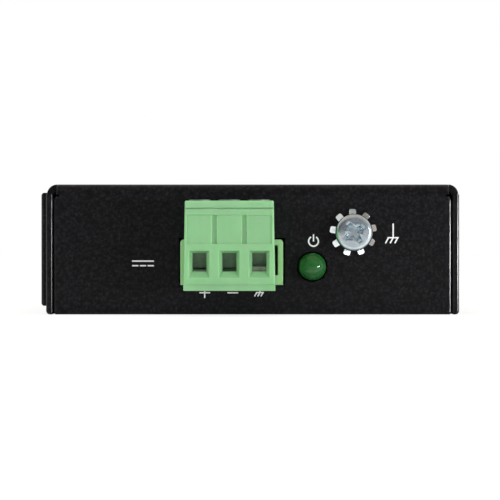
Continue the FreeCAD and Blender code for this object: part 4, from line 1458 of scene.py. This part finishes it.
@dataclass
class Studio:
    """White floor, soft light and the photograph's camera."""

    eye: Point = (-0.00046, -0.445, 0.01123)
    lens: float = 163.3
    sensor: float = 36.0
    near_clip: float = 0.01
    target: Point = (0.0, -0.03, 0.011)
    floor_side: float = 6.0
    floor_drop: float = 0.02 * MM
    floor_paper: Colour = (0.92, 0.92, 0.92)
    floor_glow: float = 1.45
    floor_share: float = 0.55
    floor_mirror: float = 0.05
    # Where along Y the floor's mirrored band comes up and dies away: a strip that glows only in reflections,
    # a painted reflection that draws a crescent in the lens.
    band_front: Span = (-0.080, -0.061)
    band_back: Span = (-0.061, -0.0575)
    glint_strip_glow: float = 0.6
    ambient: Colour = (0.50, 0.50, 0.50)
    # The room as metal mirrors it: dim in front, brown above, and white to the back and the sides.
    front_left: Colour = (0.065, 0.067, 0.073)
    front_right: Colour = (0.25, 0.26, 0.285)
    front_turn: Span = (-0.3, 0.3)
    above_brown: Colour = (0.52, 0.45, 0.39)
    above_rise: Span = (0.15, 0.75)
    back_weight: float = 0.75
    side_weight: float = 0.8
    white_rise: Span = (0.15, 0.9)
    lamps: tuple[Lamp, ...] = (
        Lamp("key", right=48.0, up=0.0, distance=0.50, width=0.20, height=0.02, watts=1.15),
        Lamp("fill", right=-38.0, up=7.0, distance=0.75, width=0.50, height=0.17, watts=1.5, mirrored=False),
        Lamp(
            "top",
            right=180.0,
            up=62.0,
            distance=0.70,
            width=0.60,
            height=0.60,
            watts=1.2,
            tint=(1.0, 0.86, 0.76),
            mirrored=False,
        ),
    )

    def build(self) -> None:
        """Sets up camera, light and floor."""
        scene = bpy.context.scene
        scene.view_settings.view_transform = "Standard"
        self.set_camera(scene)
        self.set_world(scene)
        self.set_floor()
        for lamp in self.lamps:
            self.set_lamp(scene, lamp)

    def set_camera(self, scene: bpy.types.Scene) -> None:
        """Sets the camera straight on to the power end, at the photograph's distance.

        Args:
            scene: the scene that it is for.
        """
        data = bpy.data.cameras.new("photo_camera")
        data.lens = self.lens
        data.sensor_width = self.sensor
        data.clip_start = self.near_clip
        camera = bpy.data.objects.new("photo_camera", data)
        camera.location = self.eye
        camera.rotation_euler = (QUARTER_TURN, 0.0, 0.0)
        scene.collection.objects.link(camera)
        scene.camera = camera

    @staticmethod
    def seen(graph: Graph) -> tuple[Wire, Wire]:
        """Tells apart the rays that meet the background.

        Args:
            graph: the tree of the floor or the world.

        Returns:
            Whether a ray is the camera's own or passed through glass, and whether it was mirrored.
        """
        camera = graph.node("ShaderNodeLightPath", out="Is Camera Ray")
        through = graph.node("ShaderNodeLightPath", out="Is Transmission Ray")
        mirrored = graph.node("ShaderNodeLightPath", out="Is Glossy Ray")
        return camera.largest(through), mirrored

    def set_world(self, scene: bpy.types.Scene) -> None:
        """Sets white behind the object, an even light, and a dim front and a white back for reflections.

        Args:
            scene: the scene that it is for.
        """
        world = bpy.data.worlds.new("studio")
        scene.world = world
        world.use_nodes = True
        graph = Graph(world.node_tree)
        way = graph.node("ShaderNodeTexCoord", out="Generated")
        across, back, up = (graph.node("ShaderNodeSeparateXYZ", {}, {0: way}, axis) for axis in "XYZ")
        bright = (back * self.back_weight + across * across * self.side_weight).rise(*self.white_rise)
        front = graph.mix(across.rise(*self.front_turn), self.front_left, self.front_right)
        room = graph.mix(up.rise(*self.above_rise), front, self.above_brown)
        room = graph.mix(bright, room, WHITE)
        direct, mirrored = self.seen(graph)
        colour = graph.mix(mirrored, graph.mix(direct, self.ambient, WHITE), room)
        shader = graph.node("ShaderNodeBackground", {}, {"Color": colour, "Strength": 1.0})
        graph.node("ShaderNodeOutputWorld", {}, {"Surface": shader})

    def set_floor(self) -> None:
        """Lays a pale floor: white to the eye, softly shadowed, and with a near band that glows only in
        reflections, a painted reflection.
        """
        bpy.ops.object.select_all(action="DESELECT")
        bpy.ops.mesh.primitive_plane_add(size=self.floor_side, location=(0, 0, -self.floor_drop))
        floor = bpy.context.active_object
        floor.name = "studio_floor"
        material = bpy.data.materials.new("studio_floor")
        material.use_nodes = True
        graph = Graph(material.node_tree)
        direct, mirrored = self.seen(graph)
        paper = graph.node("ShaderNodeBsdfDiffuse", {}, {"Color": self.floor_paper})
        glow = graph.node("ShaderNodeEmission", {}, {"Color": WHITE, "Strength": self.floor_glow})
        along = graph.node("ShaderNodeSeparateXYZ", {}, {0: graph.spot()}, "Y")
        # A strip that glows only in reflections: a painted reflection.
        glint_strip = along.rise(*self.band_front) * (1 - along.rise(*self.band_back))
        in_mirror = mirrored * (self.floor_mirror + glint_strip * self.glint_strip_glow)
        share = (direct * self.floor_share).largest(in_mirror)
        shader = graph.node("ShaderNodeMixShader", {}, {0: share, 1: paper, 2: glow})
        graph.node("ShaderNodeOutputMaterial", {}, {"Surface": shader})
        floor.data.materials.append(material)

    def set_lamp(self, scene: bpy.types.Scene, lamp: Lamp) -> None:
        """Sets one soft lamp, aimed at the power end.

        Args:
            scene: the scene that it is for.
            lamp: its place, size and strength.
        """
        data = bpy.data.lights.new(lamp.name, "AREA")
        data.shape = "RECTANGLE"
        data.size = lamp.width
        data.size_y = lamp.height
        data.energy = lamp.watts
        data.color = lamp.tint
        thing = bpy.data.objects.new(lamp.name, data)
        turn = math.radians(lamp.right)
        rise = math.radians(lamp.up)
        way = Vector((math.sin(turn) * math.cos(rise), -math.cos(turn) * math.cos(rise), math.sin(rise)))
        thing.location = Vector(self.target) + way * lamp.distance
        thing.rotation_euler = way.to_track_quat("Z", "Y").to_euler()
        thing.visible_camera = False
        thing.visible_glossy = lamp.mirrored
        scene.collection.objects.link(thing)


def main() -> None:
    """Builds the switch's looks round its frame, one sub-assembly after another."""
    logging.basicConfig(level=logging.INFO, format="%(message)s")
    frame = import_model()
    bench = Bench(frame["nodes"])
    for assembly in (
        CaseShell,
        NetworkPorts,
        PowerTerminal,
        IndicatorLamp,
        GroundPoint,
        BoardInside,
        PanelPrint,
    ):
        assembly(bench).build()
    Studio().build()


if __name__ == "__main__":
    main()
